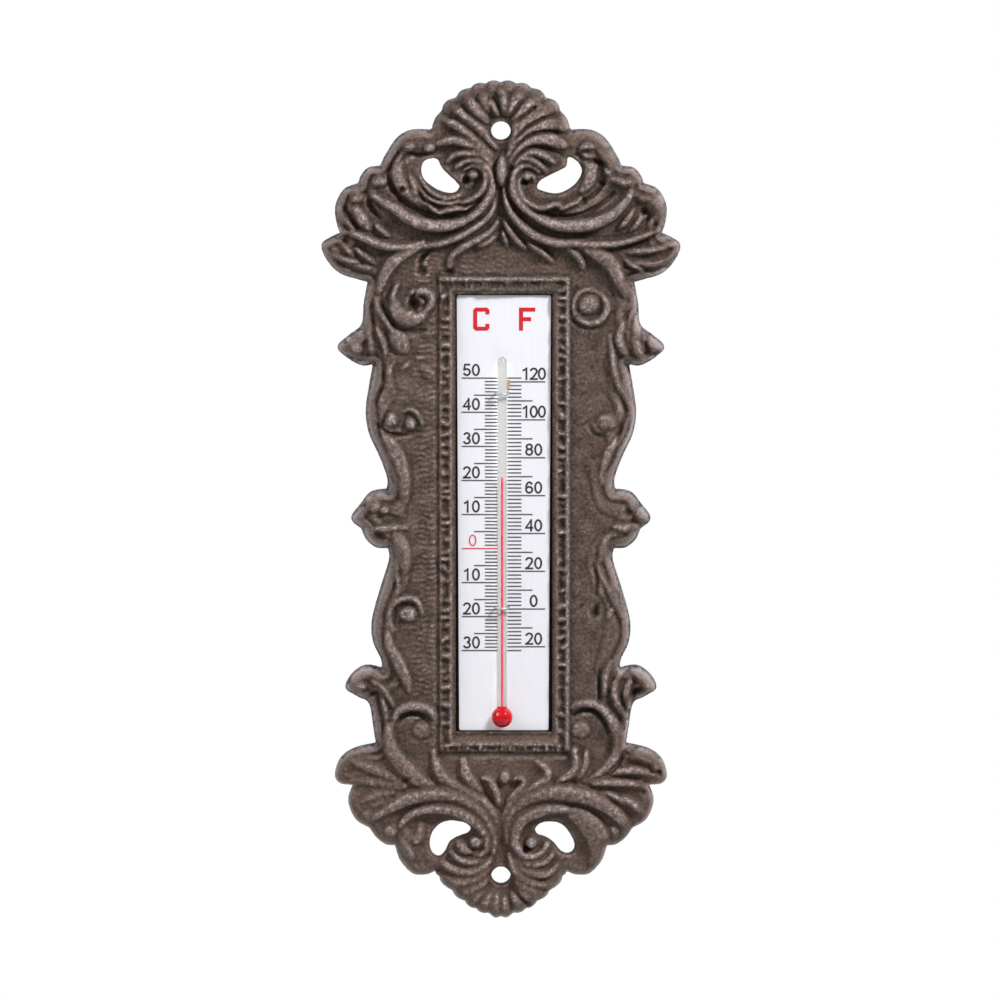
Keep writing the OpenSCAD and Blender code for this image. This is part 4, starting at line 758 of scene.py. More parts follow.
class Relief:
    """The casting's front as heights above the wall over a grid, with the line where it ends."""

    def __init__(self):
        self.xs = even_steps([cast_low[0] - MARGIN, POCKET_LEFT, POCKET_RIGHT, cast_high[0] + MARGIN], GRID)
        self.zs = even_steps([cast_low[2] - MARGIN, POCKET_BOTTOM, POCKET_TOP, cast_high[2] + MARGIN], GRID)
        self.x, self.z = np.meshgrid(self.xs, self.zs, indexing="ij")
        self.size = self.x.shape
        # Distances inwards from the outline, outwards from the openings, and from the nearer bore's axis
        self.edge = edge_distance(outline_loop(), self.xs, self.zs, EDGE_REACH) - self.scallops()
        lips = [edge_distance(loop, self.xs, self.zs, LIP_REACH) for loop in opening_loops()]
        self.lip = -np.max(lips, axis=0)
        self.hole = np.min([np.hypot(self.x, self.z - z) for z in HOLE_Z], axis=0)
        # Height above the wall, and what is cut out of it
        from_edge = self.edge / (profile(RIM_SHARE, self.z) * (1 + waves(self.size, "rim width")))
        fan = profile(CHAMFERED, self.z)
        self.height = profile(RIM_PROFILE, from_edge) * (1 - fan) + profile(CHAMFER, self.edge) * fan
        self.cut = CREVICE_D * (1 - fan)
        self.cut *= np.clip(1 + CREVICE_FLOOR - np.abs(from_edge - CREVICE_AT) / CREVICE_W, 0, 1)
        self.cut *= broken(self.size, "crevice", BROKEN_MOST) * profile(CREVICE_SHARE, self.z)
        # Where scrolls lie, where the wax's sheen is painted, where the rim is pale with a painted reflection
        # and where the iron is darker, partly with painted shade
        self.stroke = np.zeros(self.size)
        self.gleam = np.zeros(self.size)
        self.rim = profile(RIM_LIGHT, from_edge)
        self.shade = np.zeros(self.size)

    def scallops(self):
        """How far the small scallops of both fans set the edge back."""
        back = np.zeros(self.size)
        for hole, fan in ((HOLE_Z[0], self.z > HOLE_Z[0]), (HOLE_Z[1], self.z < HOLE_Z[1])):
            turn = np.arctan2(self.z - hole, self.x)
            back += fan * SCALLOP_DEPTH * (1 - np.abs(np.sin(SCALLOPS * turn)))
        return back

    def dome(self, centre, radii):
        """Part of the grid round a centre, and a dome over it that is 1 at its top and 0 at its edge."""
        i0, i1 = np.searchsorted(self.xs, (centre[0] - radii[0], centre[0] + radii[0]))
        k0, k1 = np.searchsorted(self.zs, (centre[1] - radii[1], centre[1] + radii[1]))
        level = (self.xs[i0:i1, None] - centre[0]) / radii[0]
        upright = (self.zs[k0:k1] - centre[1]) / radii[1]
        return (slice(i0, i1), slice(k0, k1)), np.sqrt(np.clip(1 - (level ** 2 + upright ** 2), 0, 1))

    def raise_dome(self, centre, radii, top):
        """Raises a dome to a height above the wall."""
        part, dome = self.dome(centre, radii)
        np.maximum(self.height[part], ROOT_H + (top - ROOT_H) * dome, out=self.height[part])
        np.maximum(self.stroke[part], dome, out=self.stroke[part])

    def sink_dome(self, centre, radii, depth):
        """Sinks a round hollow."""
        part, dome = self.dome(centre, radii)
        np.maximum(self.cut[part], depth * dome ** 2, out=self.cut[part])

    def follow(self, points, side, half_w, size, mark):
        """Marks domes along a smooth stroke that swells from its ends."""
        path = even_line(smooth_line(placed(points, side), CURVE_STEPS), GRID / 2)
        for t, centre in zip(np.linspace(0, 1, len(path)), path):
            swell = math.sqrt(math.sin(math.pi * (RUN_IN + (1 - 2 * RUN_IN) * t)))
            radius = max(GRID, half_w * swell)
            mark(centre, (radius, radius), size(swell))

    def draw(self, side, ridges, bosses, grooves, hollows):
        """Lays one side's scrolls, bosses and incised lines on the casting."""
        for half_w, top, points in ridges:
            broad = SPREAD * half_w * float(profile(BROADER, np.mean([z for _, z in points])))
            self.follow(points, side, broad, lambda s, top=top: END_H + (top - END_H) * s, self.raise_dome)
        for rx, rz, top, place in bosses:
            centre = placed([place], side)[0]
            self.raise_dome(centre, (rx, rz), top)
            part, dome = self.dome(centre, (rx, rz))
            # Painted sheen of the wax on the tops of the higher bosses
            np.maximum(self.gleam[part], BOSS_GLEAM * dome * (top > BOSS_GLEAM_FROM), out=self.gleam[part])
        for half_w, depth, points in grooves:
            self.follow(points, side, half_w, lambda s, depth=depth: depth * s, self.sink_dome)
        for radius, depth, place in hollows:
            self.sink_dome(placed([place], side)[0], (radius, radius), depth)

    def border(self):
        """Distance outwards from the pocket, and the border's height, mitred at its corners."""
        beyond_x = np.maximum(POCKET_LEFT - self.x, self.x - POCKET_RIGHT)
        below = profile(SILL, POCKET_BOTTOM - self.z)
        beyond_z = np.where(self.z < POCKET_BOTTOM, below, self.z - POCKET_TOP)
        beyond = np.maximum(np.maximum(beyond_x, beyond_z), 0)
        upright = beyond_x > beyond_z
        ribbed = (upright & (self.x > WINDOW_X)) | (~upright & (self.z > POCKET_TOP))
        base = np.where(ribbed, profile(RIBBED, beyond), profile(GROOVED, beyond))
        bead_to = np.where(ribbed, RIB_FROM, BEAD_TO)
        along = np.where(upright, self.z, self.x * BEAD_PITCH / SPECK_PITCH) + waves(self.size, "bead line")
        phase = np.abs((along / BEAD_PITCH) % 1 - 0.5) * BEAD_PITCH
        bar = np.clip((phase - (BEAD_PITCH - BEAD_BAR) / 2) / BEAD_FLANK + 0.5, 0, 1)
        row = rising(beyond, BEAD_FROM, BEAD_FADE) * fading(beyond, bead_to, BEAD_FADE)
        worn = broken(self.size, "bead wear", BEAD_MOST)
        beads = BEAD_FLOOR + (BEAD_TOP - BEAD_FLOOR) * bar * worn + waves(self.size, "bead grain")
        return beyond, base * (1 - row) + beads * row

    def roughen(self, field, beyond):
        """Peens the open field, and gives field, scrolls and skin their unevenness."""
        peened = PEEN_H + PEEN_NEAR * fading(beyond, PEEN_REACH, PEEN_FADE)
        peened *= np.where(self.z < POCKET_BOTTOM - FOOT_DROP, PEEN_FOOT, 1)
        marks = np.where(self.x < WINDOW_X, dashes(self.size, *PEEN_DASHES), waves(self.size, "right field"))
        self.height += field * peened * np.clip(marks, *PEEN_RANGE)
        self.height += waves(self.size, "field") * field + waves(self.size, "skin")
        self.height += self.stroke * waves(self.size, "scrolls")

    def lay_border(self, beyond, border):
        """Sets the window's border into the surface, with its painted sheen and the painted shade of its
        upper part.
        """
        blend = fading(beyond, BORDER_W, BORDER_FADE) * (beyond > 0)
        self.height = self.height * (1 - blend) + (border + waves(self.size, "border")) * blend
        # Painted shade on the inner part of the border above the window
        inner = fading(beyond, RIB_FROM, BEAD_FADE) * (beyond > 0) * (self.z > POCKET_TOP)
        self.shade = np.maximum(self.shade, TOP_SHADE * inner)
        # Painted sheen of the wax on the border's higher parts, most on the sill
        polish = np.where(self.z < POCKET_BOTTOM, SILL_GLEAM, BORDER_GLEAM)
        self.gleam = np.maximum(self.gleam, polish * blend * rising(border, BORDER_GLEAM_FROM, 1))

    def finish_edges(self):
        """Rounds the outline, the openings and the bores, and lays the flat lands round the bores."""
        self.height = np.minimum(soften(self.height, 1), profile(EDGE_LIMIT, self.edge))
        self.height -= rounding(self.lip, *LIP_ROUND)
        land = fading(self.hole, LAND_R, LAND_DRAFT)
        self.height = self.height * (1 - land) + LAND_H * land
        self.height -= rounding(self.hole - BORE_R, *BORE_ROUND)
        self.height = np.clip(self.height, SIDE_H, TOP_H)

    def shape(self):
        """Works the whole surface out."""
        self.draw(-1, LEFT_RIDGES, LEFT_BOSSES, LEFT_GROOVES, LEFT_HOLLOWS)
        self.draw(1, RIGHT_RIDGES, RIGHT_BOSSES, RIGHT_GROOVES, RIGHT_HOLLOWS)
        swell = SWELL * soften(self.stroke, SWELL_ROUNDS) * (1 - self.stroke)
        self.height += swell * rising(self.edge, SWELL_FROM, SWELL_RUN)
        self.height -= self.cut
        self.height += CRISP * (self.height - soften(self.height, CRISP_ROUNDS))
        field = (1 - self.stroke) * rising(self.edge, FIELD_FROM, FIELD_RUN)
        self.shade = FIELD_SHADE * field * (self.x > WINDOW_X) * (self.z > POCKET_BOTTOM)
        beyond, border = self.border()
        self.roughen(field, beyond)
        self.lay_border(beyond, border)
        self.finish_edges()

    def line(self):
        """Positive inside the casting's outline and outside its openings and bores, and never near zero."""
        field = np.minimum(np.minimum(self.edge, self.lip), self.hole - BORE_R)
        near = LINE_GAP * GRID
        return np.where(np.abs(field) < near, np.where(field < 0, -near, near), field)

    def back(self, x, z):
        """How far the back is hollowed at any places: 0 or less where solid, 1 or more at full depth."""
        foot = self.sample(self.edge, x, z) - FOOT_W
        wide = np.maximum(np.abs(x - WINDOW_X) - (POCKET_RIGHT - POCKET_LEFT) / 2,
                          np.abs(z - (POCKET_BOTTOM + POCKET_TOP) / 2) - (POCKET_TOP - POCKET_BOTTOM) / 2)
        pillar = np.min([np.hypot(x, z - hole) for hole in HOLE_Z], axis=0) - PILLAR_R
        return np.minimum(np.minimum(foot, wide - BACK_BORDER), pillar) / HOLLOW_DRAFT

    def sample(self, values, x, z):
        """Values of the grid at any places, blended from the four points round each."""
        i = np.clip(np.searchsorted(self.xs, x) - 1, 0, len(self.xs) - 2)
        k = np.clip(np.searchsorted(self.zs, z) - 1, 0, len(self.zs) - 2)
        u = (x - self.xs[i]) / (self.xs[i + 1] - self.xs[i])
        v = (z - self.zs[k]) / (self.zs[k + 1] - self.zs[k])
        low = values[i, k] * (1 - u) + values[i + 1, k] * u
        high = values[i, k + 1] * (1 - u) + values[i + 1, k + 1] * u
        return low * (1 - v) + high * v


def mesh_object(name, points, faces, smooth=True):
    """A new mesh object from points in metres and lists of their numbers."""
    mesh = bpy.data.meshes.new(name)
    mesh.from_pydata(points, [], faces)
    if smooth:
        mesh.shade_smooth()
    else:
        mesh.shade_flat()
    obj = bpy.data.objects.new(name, mesh)
    bpy.context.scene.collection.objects.link(obj)
    return obj


def in_pocket(x, z, near=0):
    """Which places lie in the plate's pocket, or near its edge."""
    return ((x > POCKET_LEFT - near) & (x < POCKET_RIGHT + near)
            & (z > POCKET_BOTTOM - near) & (z < POCKET_TOP + near))


def cut_faces(relief):
    """Faces over the grid inside the casting's line, and the grid points and cuts that they use."""
    line = relief.line()
    solid = line > 0
    middle_x = (relief.xs[:-1] + relief.xs[1:])[:, None] / 2
    middle_z = (relief.zs[:-1] + relief.zs[1:]) / 2
    pocket = in_pocket(middle_x, middle_z)
    corners = np.stack([solid[:-1, :-1], solid[1:, :-1], solid[1:, 1:], solid[:-1, 1:]], axis=-1)
    whole = corners.all(-1) & ~pocket
    partial = corners.any(-1) & ~corners.all(-1) & ~pocket
    used = np.zeros_like(solid)
    for di, dk in ((0, 0), (1, 0), (1, 1), (0, 1)):
        used[di:used.shape[0] - 1 + di, dk:used.shape[1] - 1 + dk] |= whole | partial
    used &= solid
    number = np.full(solid.shape, -1)
    number[used] = np.arange(used.sum())
    quads = np.stack([number[:-1, :-1], number[1:, :-1], number[1:, 1:], number[:-1, 1:]], axis=-1)[whole]
    cuts = {}
    faces = quads.tolist()
    for i, k in zip(*np.nonzero(partial)):
        ring = [(i, k), (i + 1, k), (i + 1, k + 1), (i, k + 1)]
        face = []
        for here, after in zip(ring, ring[1:] + ring[:1]):
            if solid[here]:
                face.append(int(number[here]))
            if solid[here] != solid[after]:
                key = (min(here, after), max(here, after))
                face.append(cuts.setdefault(key, int(used.sum()) + len(cuts)))
        faces.append(face)
    return line, used, cuts, faces


def with_cuts(values, line, used, cuts):
    """Values of the grid at the points that the faces use, and between them at the cuts."""
    first = tuple(np.array([a for a, b in cuts]).T)
    second = tuple(np.array([b for a, b in cuts]).T)
    t = line[first] / (line[first] - line[second])
    return np.concatenate([values[used], values[first] * (1 - t) + values[second] * t])


def open_edges(faces):
    """Edges that only one face uses, in that face's direction."""
    pairs = np.array([(a, b) for face in faces for a, b in zip(face, face[1:] + face[:1])])
    span = pairs.max() + 1
    twins = np.isin(pairs[:, 1] * span + pairs[:, 0], pairs[:, 0] * span + pairs[:, 1])
    return pairs[~twins]


def contour_points(relief, values, level):
    """Points where the grid's values pass through a level."""
    found = []
    for axis, (here, after) in enumerate(((values[:-1], values[1:]), (values[:, :-1], values[:, 1:]))):
        i, k = np.nonzero((here - level) * (after - level) < 0)
        t = (level - here[i, k]) / (after[i, k] - here[i, k])
        if axis == 0:
            x, z = relief.xs[i] + t * (relief.xs[i + 1] - relief.xs[i]), relief.zs[k]
        else:
            x, z = relief.xs[i], relief.zs[k] + t * (relief.zs[k + 1] - relief.zs[k])
        found.append(np.stack([x, z], axis=1))
    return np.vstack(found)


def chain(edges):
    """Numbers round a closed loop of directed edges, in their order."""
    after = dict(edges)
    loop = [edges[0][0]]
    while after[loop[-1]] != loop[0]:
        loop.append(after[loop[-1]])
    return loop


def back_points(relief, line):
    """Points that carry the casting's back: both edges of its hollow's draft, and a coarse grid."""
    depth = relief.back(relief.x, relief.z)
    coarse = np.stack([grid[::BACK_STEP, ::BACK_STEP].ravel() for grid in (relief.x, relief.z)], axis=1)
    edges = [contour_points(relief, depth, level)[::BACK_EDGE_STEP] for level in (0, 1)]
    points = np.vstack(edges + [coarse])
    return points[relief.sample(line, points[:, 0], points[:, 1]) > GRID]


def casting_mesh(relief):
    """Points in millimetres and faces of the casting as one closed shell, and the places of its front."""
    line, used, cuts, faces = cut_faces(relief)
    x, z, h = (with_cuts(values, line, used, cuts) for values in (relief.x, relief.z, relief.height))

    # Walls down from all the front's edges, and the pocket's floor
    edges = open_edges(faces)
    ring = np.unique(edges)
    lower = {int(n): len(x) + i for i, n in enumerate(ring)}
    sunk = in_pocket(x, z, TINY)
    back = HOLLOW * np.clip(relief.back(x[ring], z[ring]), 0, 1)
    low = np.where(sunk[ring], WEB_T, back)
    faces += [[b, a, lower[a], lower[b]] for a, b in edges.tolist()]
    mouth = [(a, b) for a, b in edges.tolist() if sunk[a] and sunk[b]]
    faces.append([lower[n] for n in chain(mouth)[::-1]])

    # Back between the walls, over points of its own
    outer = [int(n) for n in ring if not sunk[n]]
    place = {n: i for i, n in enumerate(outer)}
    inner = back_points(relief, line)
    flat = np.vstack([np.stack([x[outer], z[outer]], axis=1), inner])
    bounds = [(place[a], place[b]) for a, b in edges.tolist() if a in place and b in place]
    numbers = [lower[n] for n in outer] + list(range(len(x) + len(ring), len(x) + len(ring) + len(inner)))
    spread, _, triangles, origin, _, _ = delaunay_2d_cdt([Vector(p) for p in flat], bounds, [], 0, TINY)
    spread = np.array([tuple(p) for p in spread])
    for triangle in triangles:
        middle = spread[triangle].mean(axis=0)
        if relief.sample(line, middle[0], middle[1]) > 0 and all(origin[k] for k in triangle):
            faces.append([numbers[origin[k][0]] for k in triangle[::-1]])

    inner_h = HOLLOW * np.clip(relief.back(inner[:, 0], inner[:, 1]), 0, 1)
    points = np.concatenate([
        np.stack([x, -h, z], axis=1),
        np.stack([x[ring], -low, z[ring]], axis=1),
        np.stack([inner[:, 0], -inner_h, inner[:, 1]], axis=1),
    ])
    return points, faces, (line, used, cuts)


def add(tree, kind, inputs=None, **settings):
    """Adds a shader node with its settings, and gives its inputs values or links them to other sockets."""
    node = tree.nodes.new(kind)
    for name, value in settings.items():
        setattr(node, name, value)
    for name, value in (inputs or {}).items():
        if isinstance(value, bpy.types.NodeSocket):
            tree.links.new(value, node.inputs[name])
        else:
            node.inputs[name].default_value = value
    return node


def noise(tree, size, detail=3, roughness=0.6, stretch=(1, 1, 1)):
    """Noise over the object whose lumps are about this size in millimetres."""
    place = add(tree, "ShaderNodeTexCoord").outputs["Object"]
    if stretch != (1, 1, 1):
        place = add(tree, "ShaderNodeMapping", {"Vector": place, "Scale": stretch}).outputs["Vector"]
    inputs = {"Vector": place, "Scale": 1 / (size * MM), "Detail": detail, "Roughness": roughness}
    return add(tree, "ShaderNodeTexNoise", inputs).outputs["Fac"]


def ramp(tree, value, low, high, start=0, end=1):
    """Spreads the values from low to high over start to end, and clamps the rest."""
    inputs = {"Value": value, "From Min": low, "From Max": high, "To Min": start, "To Max": end}
    return add(tree, "ShaderNodeMapRange", inputs).outputs["Result"]


def sums(tree, kind, first, second, clamp=False):
    """One step of arithmetic on two values."""
    node = add(tree, "ShaderNodeMath", {0: first, 1: second}, operation=kind, use_clamp=clamp)
    return node.outputs["Value"]


def blend_colour(tree, share, first, second):
    """Mixes two colours by a share."""
    node = add(tree, "ShaderNodeMix", {"Factor": share, "A": first, "B": second}, data_type="RGBA")
    return node.outputs[2]


def overlay(tree, base, colour, mask, speckle, low, high):
    """Lays a colour over a base by a mask, whose strength runs from low to high with the speckle."""
    share = sums(tree, "MULTIPLY", mask, ramp(tree, speckle, 0, 1, low, high))
    return blend_colour(tree, share, base, colour)


def new_group(name, inputs, outputs):
    """An empty shader node group with named float inputs and outputs."""
    group = bpy.data.node_groups.new(name, "ShaderNodeTree")
    for socket, value in inputs.items():
        made = group.interface.new_socket(socket, in_out="INPUT", socket_type="NodeSocketFloat")
        made.default_value = value
    for socket in outputs:
        group.interface.new_socket(socket, in_out="OUTPUT", socket_type="NodeSocketFloat")
    return group, add(group, "NodeGroupInput"), add(group, "NodeGroupOutput")


def grain_group():
    """Fine and coarse grain of a sand-cast or moulded face."""
    group, given, result = new_group("Cast grain", {"Fine": 0.5, "Coarse": 0.5}, ["Height", "Speckle"])
    fine = noise(group, 0.8, detail=5, roughness=0.8)
    coarse = noise(group, 2.2)
    height = sums(group, "ADD", sums(group, "MULTIPLY", fine, given.outputs["Fine"]),
                  sums(group, "MULTIPLY", coarse, given.outputs["Coarse"]))
    group.links.new(height, result.inputs["Height"])
    specks = noise(group, 0.9, detail=4, roughness=0.85)
    group.links.new(ramp(group, specks, 0.43, 0.57), result.inputs["Speckle"])
    return group


def patch_group():
    """Large soft patches, where the finish is thinner or thicker."""
    group, given, result = new_group("Patches", {"Contrast": 0.1}, ["Mask"])
    low = sums(group, "SUBTRACT", 0.5, given.outputs["Contrast"])
    high = sums(group, "ADD", 0.5, given.outputs["Contrast"])
    group.links.new(ramp(group, noise(group, 14, detail=5), low, high), result.inputs["Mask"])
    return group


def edge_group():
    """Turns a painted edge mask into broken wear, or into broken painted shade in the hollows."""
    group, given, result = new_group("Broken mask", {"Mask": 0, "Break": 0.5}, ["Mask"])
    spots = ramp(group, noise(group, 1.7, detail=4, roughness=0.75), 0.42, 0.58)
    keep = sums(group, "SUBTRACT", 1, sums(group, "MULTIPLY", given.outputs["Break"], spots))
    group.links.new(sums(group, "MULTIPLY", given.outputs["Mask"], keep, True), result.inputs["Mask"])
    return group


def use(tree, group, **inputs):
    """Places a shared node group in a material."""
    return add(tree, "ShaderNodeGroup", inputs, node_tree=bpy.data.node_groups[group]).outputs


def material(name, **values):
    """A new material with its main shader, whose constant values are set on the shader itself."""
    made = bpy.data.materials.new(name)
    made.use_nodes = True
    shader = made.node_tree.nodes["Principled BSDF"]
    for socket, value in values.items():
        shader.inputs[socket.replace("_", " ")].default_value = value
    return made, made.node_tree, shader


def bump(tree, shader, height, distance, strength=1):
    """Lays a fine height over a shader's surface, its distance in millimetres."""
    node = add(tree, "ShaderNodeBump", {"Height": height, "Distance": distance * MM, "Strength": strength})
    tree.links.new(node.outputs["Normal"], shader.inputs["Normal"])


def srgb(red, green, blue):
    """A colour given in the 0 to 255 steps of a screen, as the shaders take it."""
    steps = [c / 255 for c in (red, green, blue)]
    return tuple(c / 12.92 if c < 0.04045 else ((c + 0.055) / 1.055) ** 2.4 for c in steps) + (1,)


def iron_material(settings):
    """Waxed brown cast iron: painted shade in its hollows, worn and brighter on its crests, with painted
    glints on the highest and waxed spots.
    """
    made, tree, shader = material("Cast iron", Metallic=0.0)
    crest, hollow, gleam, rim = (
        add(tree, "ShaderNodeAttribute", attribute_name=name).outputs["Fac"]
        for name in ("crest", "hollow", "gleam", "rim"))
    field, rust, bare, glint, dark = (tuple(c) + (1,) for c in (
        settings.field_colour, settings.rust_colour, settings.worn_colour, settings.glint_colour,
        settings.dark_colour))
    grain = use(tree, "Cast grain", Fine=0.6, Coarse=0.5)
    patches = use(tree, "Patches", Contrast=0.16)["Mask"]
    # The worn mask also carries the wax's gleam, so it paints a sheen as well as wear
    worn = use(tree, "Broken mask", Mask=sums(tree, "MAXIMUM", crest, gleam), Break=0.6)["Mask"]
    darkening = use(tree, "Broken mask", Mask=hollow, Break=0.45)["Mask"]
    speckle = grain["Speckle"]

    # Brown field with rusty patches and dark specks
    base = blend_colour(tree, patches, field, rust)
    base = blend_colour(tree, ramp(tree, speckle, 0, 1, 0.68, 0), base, dark)
    # Pale rim, palest at its very edge: its worn colour, and at the edge a painted reflection of the white
    # surroundings
    base = overlay(tree, base, bare, rim, speckle, 0.6, 1)
    # Painted reflection: the rim's very edge takes the highlight colour
    base = blend_colour(tree, ramp(tree, rim, 0.8, 1, 0, 0.4), base, glint)
    # Worn crests, with painted glints on the highest and the waxed ones
    base = overlay(tree, base, bare, worn, speckle, 0.3, 1)
    highest = ramp(tree, sums(tree, "ADD", worn, gleam), 0.5, 1.3)
    bright = sums(tree, "MULTIPLY", highest, ramp(tree, speckle, 0.4, 1), True)
    base = blend_colour(tree, bright, base, glint)
    # Painted shade in the hollows and above the window, and the darker field right of the window
    base = overlay(tree, base, dark, darkening, speckle, 1, 0.6)
    tree.links.new(base, shader.inputs["Base Color"])

    matt = ramp(tree, darkening, 0, 1, settings.roughness, 0.8)
    rubbed = sums(tree, "MULTIPLY", worn, 0.18)
    tree.links.new(sums(tree, "SUBTRACT", matt, rubbed), shader.inputs["Roughness"])
    bump(tree, shader, grain["Height"], 0.6)
    return made


def plate_material(settings):
    """White enamelled plate with a faint upright brushing."""
    made, tree, shader = material("White plate")
    brushed = noise(tree, 0.5, stretch=(1, 1, 0.03))
    base = tuple(settings.plate_colour) + (1,)
    shade = tuple(0.965 * c for c in settings.plate_colour) + (1,)
    white = blend_colour(tree, ramp(tree, brushed, 0.35, 0.65), base, shade)
    tree.links.new(white, shader.inputs["Base Color"])
    tree.links.new(ramp(tree, brushed, 0.3, 0.7, 0.32, 0.42), shader.inputs["Roughness"])
    bump(tree, shader, brushed, 0.01, 0.5)
    return made


def print_material(name, colour):
    """Ink on the plate, a little uneven."""
    made, tree, shader = material(name)
    colour = tuple(colour) + (1,)
    pale = tuple(0.85 * c + 0.03 for c in colour[:3]) + (1,)
    cover = ramp(tree, noise(tree, 0.5), 0.4, 0.75)
    tree.links.new(blend_colour(tree, cover, colour, pale), shader.inputs["Base Color"])
    tree.links.new(ramp(tree, cover, 0, 1, 0.45, 0.6), shader.inputs["Roughness"])
    return made


def mottled_material(name, grains, colours, roughness, dent=0, **values):
    """A finish of two colours mottled by grains of a size and detail, and dented by them."""
    made, tree, shader = material(name, **values)
    spots = noise(tree, *grains)
    light, dark = (srgb(*colour) for colour in colours)
    mottled = blend_colour(tree, ramp(tree, spots, 0.35, 0.65), light, dark)
    tree.links.new(mottled, shader.inputs["Base Color"])
    tree.links.new(ramp(tree, spots, 0.3, 0.7, *roughness), shader.inputs["Roughness"])
    if dent:
        bump(tree, shader, spots, dent)
    return made


def foam_material():
    """Open-cell foam of the adhesive pads."""
    return mottled_material("Foam pad", (0.5, 4, 0.7), ((226, 220, 205), (190, 184, 170)), (0.85, 0.98),
                            dent=0.3)


def wire_material():
    """Soft bright tinned wire."""
    return mottled_material("Clip wire", (0.4,), ((222, 219, 224), (190, 187, 192)), (0.35, 0.5),
                            Metallic=0.8)


def cement_material():
    """Brown cement that holds the stem."""
    return mottled_material("Cement", (0.8,), ((205, 170, 130), (165, 128, 92)), (0.45, 0.65), dent=0.1,
                            Subsurface_Weight=0.1)


def finish_with(tree, node):
    """Makes the material's surface what a mixing node gives."""
    output = next(item for item in tree.nodes if item.type == "OUTPUT_MATERIAL")
    tree.links.new(node.outputs["Shader"], output.inputs["Surface"])


def clear_for_shadows(tree, shader):
    """Lets light fall through a clear material without a dark shadow."""
    through = add(tree, "ShaderNodeBsdfTransparent", {"Color": (0.93, 0.93, 0.93, 1)})
    path = add(tree, "ShaderNodeLightPath")
    finish_with(tree, add(tree, "ShaderNodeMixShader", {
        0: path.outputs["Is Shadow Ray"], 1: shader.outputs["BSDF"], 2: through.outputs["BSDF"]}))


def glass_material(settings):
    """Clear glass of the tube, very slightly wavy."""
    made, tree, shader = material("Tube glass", Transmission_Weight=1.0, IOR=1.47,
                                  Base_Color=tuple(settings.tint) + (1,), Metallic=0.0)
    ripples = noise(tree, 5, detail=2, roughness=0.5, stretch=(1, 1, 0.3))
    tree.links.new(ramp(tree, ripples, 0.3, 0.7, 0.0, 0.03), shader.inputs["Roughness"])
    bump(tree, shader, ripples, 0.05, 0.3)
    clear_for_shadows(tree, shader)
    return made


def spirit_material(name, colour, deep):
    """Red dyed spirit, lighter and darker in soft clouds."""
    made, tree, shader = material(name, Specular_IOR_Level=0.1)
    clouds = ramp(tree, noise(tree, 2.2, detail=2), 0.4, 0.66)
    tree.links.new(blend_colour(tree, clouds, tuple(colour) + (1,), deep), shader.inputs["Base Color"])
    tree.links.new(ramp(tree, clouds, 0, 1, 0.12, 0.3), shader.inputs["Roughness"])
    return made


def dress(name, look):
    """Gives a CAD piece its finish."""
    mesh = frame["nodes"][name].data
    mesh.materials.clear()
    mesh.materials.append(look)


def broadened(name, node, grow):
    """A flat printed piece like a CAD node's, its strokes broader by this many millimetres on each side."""
    # How far a side face may lean, how alike normals count as one, and how far a sharp corner is drawn out
    leaning, alike, sharpest = 0.5, 0.999, 0.5
    mesh = frame["nodes"][node].data
    places = [tuple(round(c / MM, 4) for c in vertex.co) for vertex in mesh.vertices]
    sides = {}
    for polygon in mesh.polygons:
        normal = polygon.normal
        if abs(normal.y) < leaning:
            for n in polygon.vertices:
                known = sides.setdefault(places[n], [])
                if all(normal.dot(other) < alike for other in known):
                    known.append(normal.copy())
    moved = []
    for place in places:
        shift = Vector((0, 0, 0))
        near = sides.get(place, [])[:2]
        if near:
            turn = near[0].dot(near[-1])
            shift = (near[0] + near[-1]) * grow / max(1 + turn, sharpest)
        moved.append(tuple((c + s) * MM for c, s in zip(place, shift)))
    return mesh_object(name, moved, [list(polygon.vertices) for polygon in mesh.polygons], smooth=False)


def lathe(name, outline, sides):
    """A round piece about the tube's axis from (radius, height) pairs in millimetres, closed at the axis."""
    points = []
    rings = []
    for radius, height in outline:
        if radius < TINY:
            rings.append([len(points)])
            points.append((TUBE_X, -TUBE_DEPTH, height))
            continue
        rings.append(list(range(len(points), len(points) + sides)))
        for k in range(sides):
            turn = 2 * math.pi * k / sides
            points.append((TUBE_X + radius * math.cos(turn), -TUBE_DEPTH + radius * math.sin(turn), height))
    faces = []
    for low, high in zip(rings, rings[1:]):
        for k in range(sides):
            m = (k + 1) % sides
            if len(low) == 1:
                faces.append([low[0], high[m], high[k]])
            elif len(high) == 1:
                faces.append([low[k], low[m], high[0]])
            else:
                faces.append([low[k], low[m], high[m], high[k]])
    return mesh_object(name, [tuple(c * MM for c in p) for p in points], faces)


def paint_masks(obj, relief, places):
    """Stores where the casting is worn, where it is darker (painted shade in its hollows and above the
    window), where the wax's sheen is painted, and where its rim is pale with a painted reflection.
    """
    near = relief.height - soften(relief.height, NEAR_ROUNDS)
    wide = relief.height - soften(relief.height, WIDE_ROUNDS)
    # Painted shade in the hollows, where the height lies below its near and wide surroundings
    darkening = np.clip(-near / HOLLOW_SHADE_NEAR - wide / HOLLOW_SHADE_WIDE - HOLLOW_SHADE_START, 0, 1)
    darkening *= np.where(relief.z < POCKET_BOTTOM - SILL[-1][0], FOOT_HOLLOW_SHADE, 1)
    worn = np.clip(near / WEAR_NEAR + wide / WEAR_WIDE - WEAR_START, 0, 1)
    masks = {
        "crest": worn * np.clip(relief.edge / WEAR_RUN - 1, WEAR_AT_EDGE, 1),
        "hollow": darkening * (1 - relief.shade) + relief.shade,
        "gleam": relief.gleam,
        "rim": relief.rim,
    }
    for name, values in masks.items():
        flat = np.zeros(len(obj.data.vertices), np.float32)
        front = with_cuts(values, *places)
        flat[:len(front)] = front
        obj.data.attributes.new(name, "FLOAT", "POINT").data.foreach_set("value", flat)


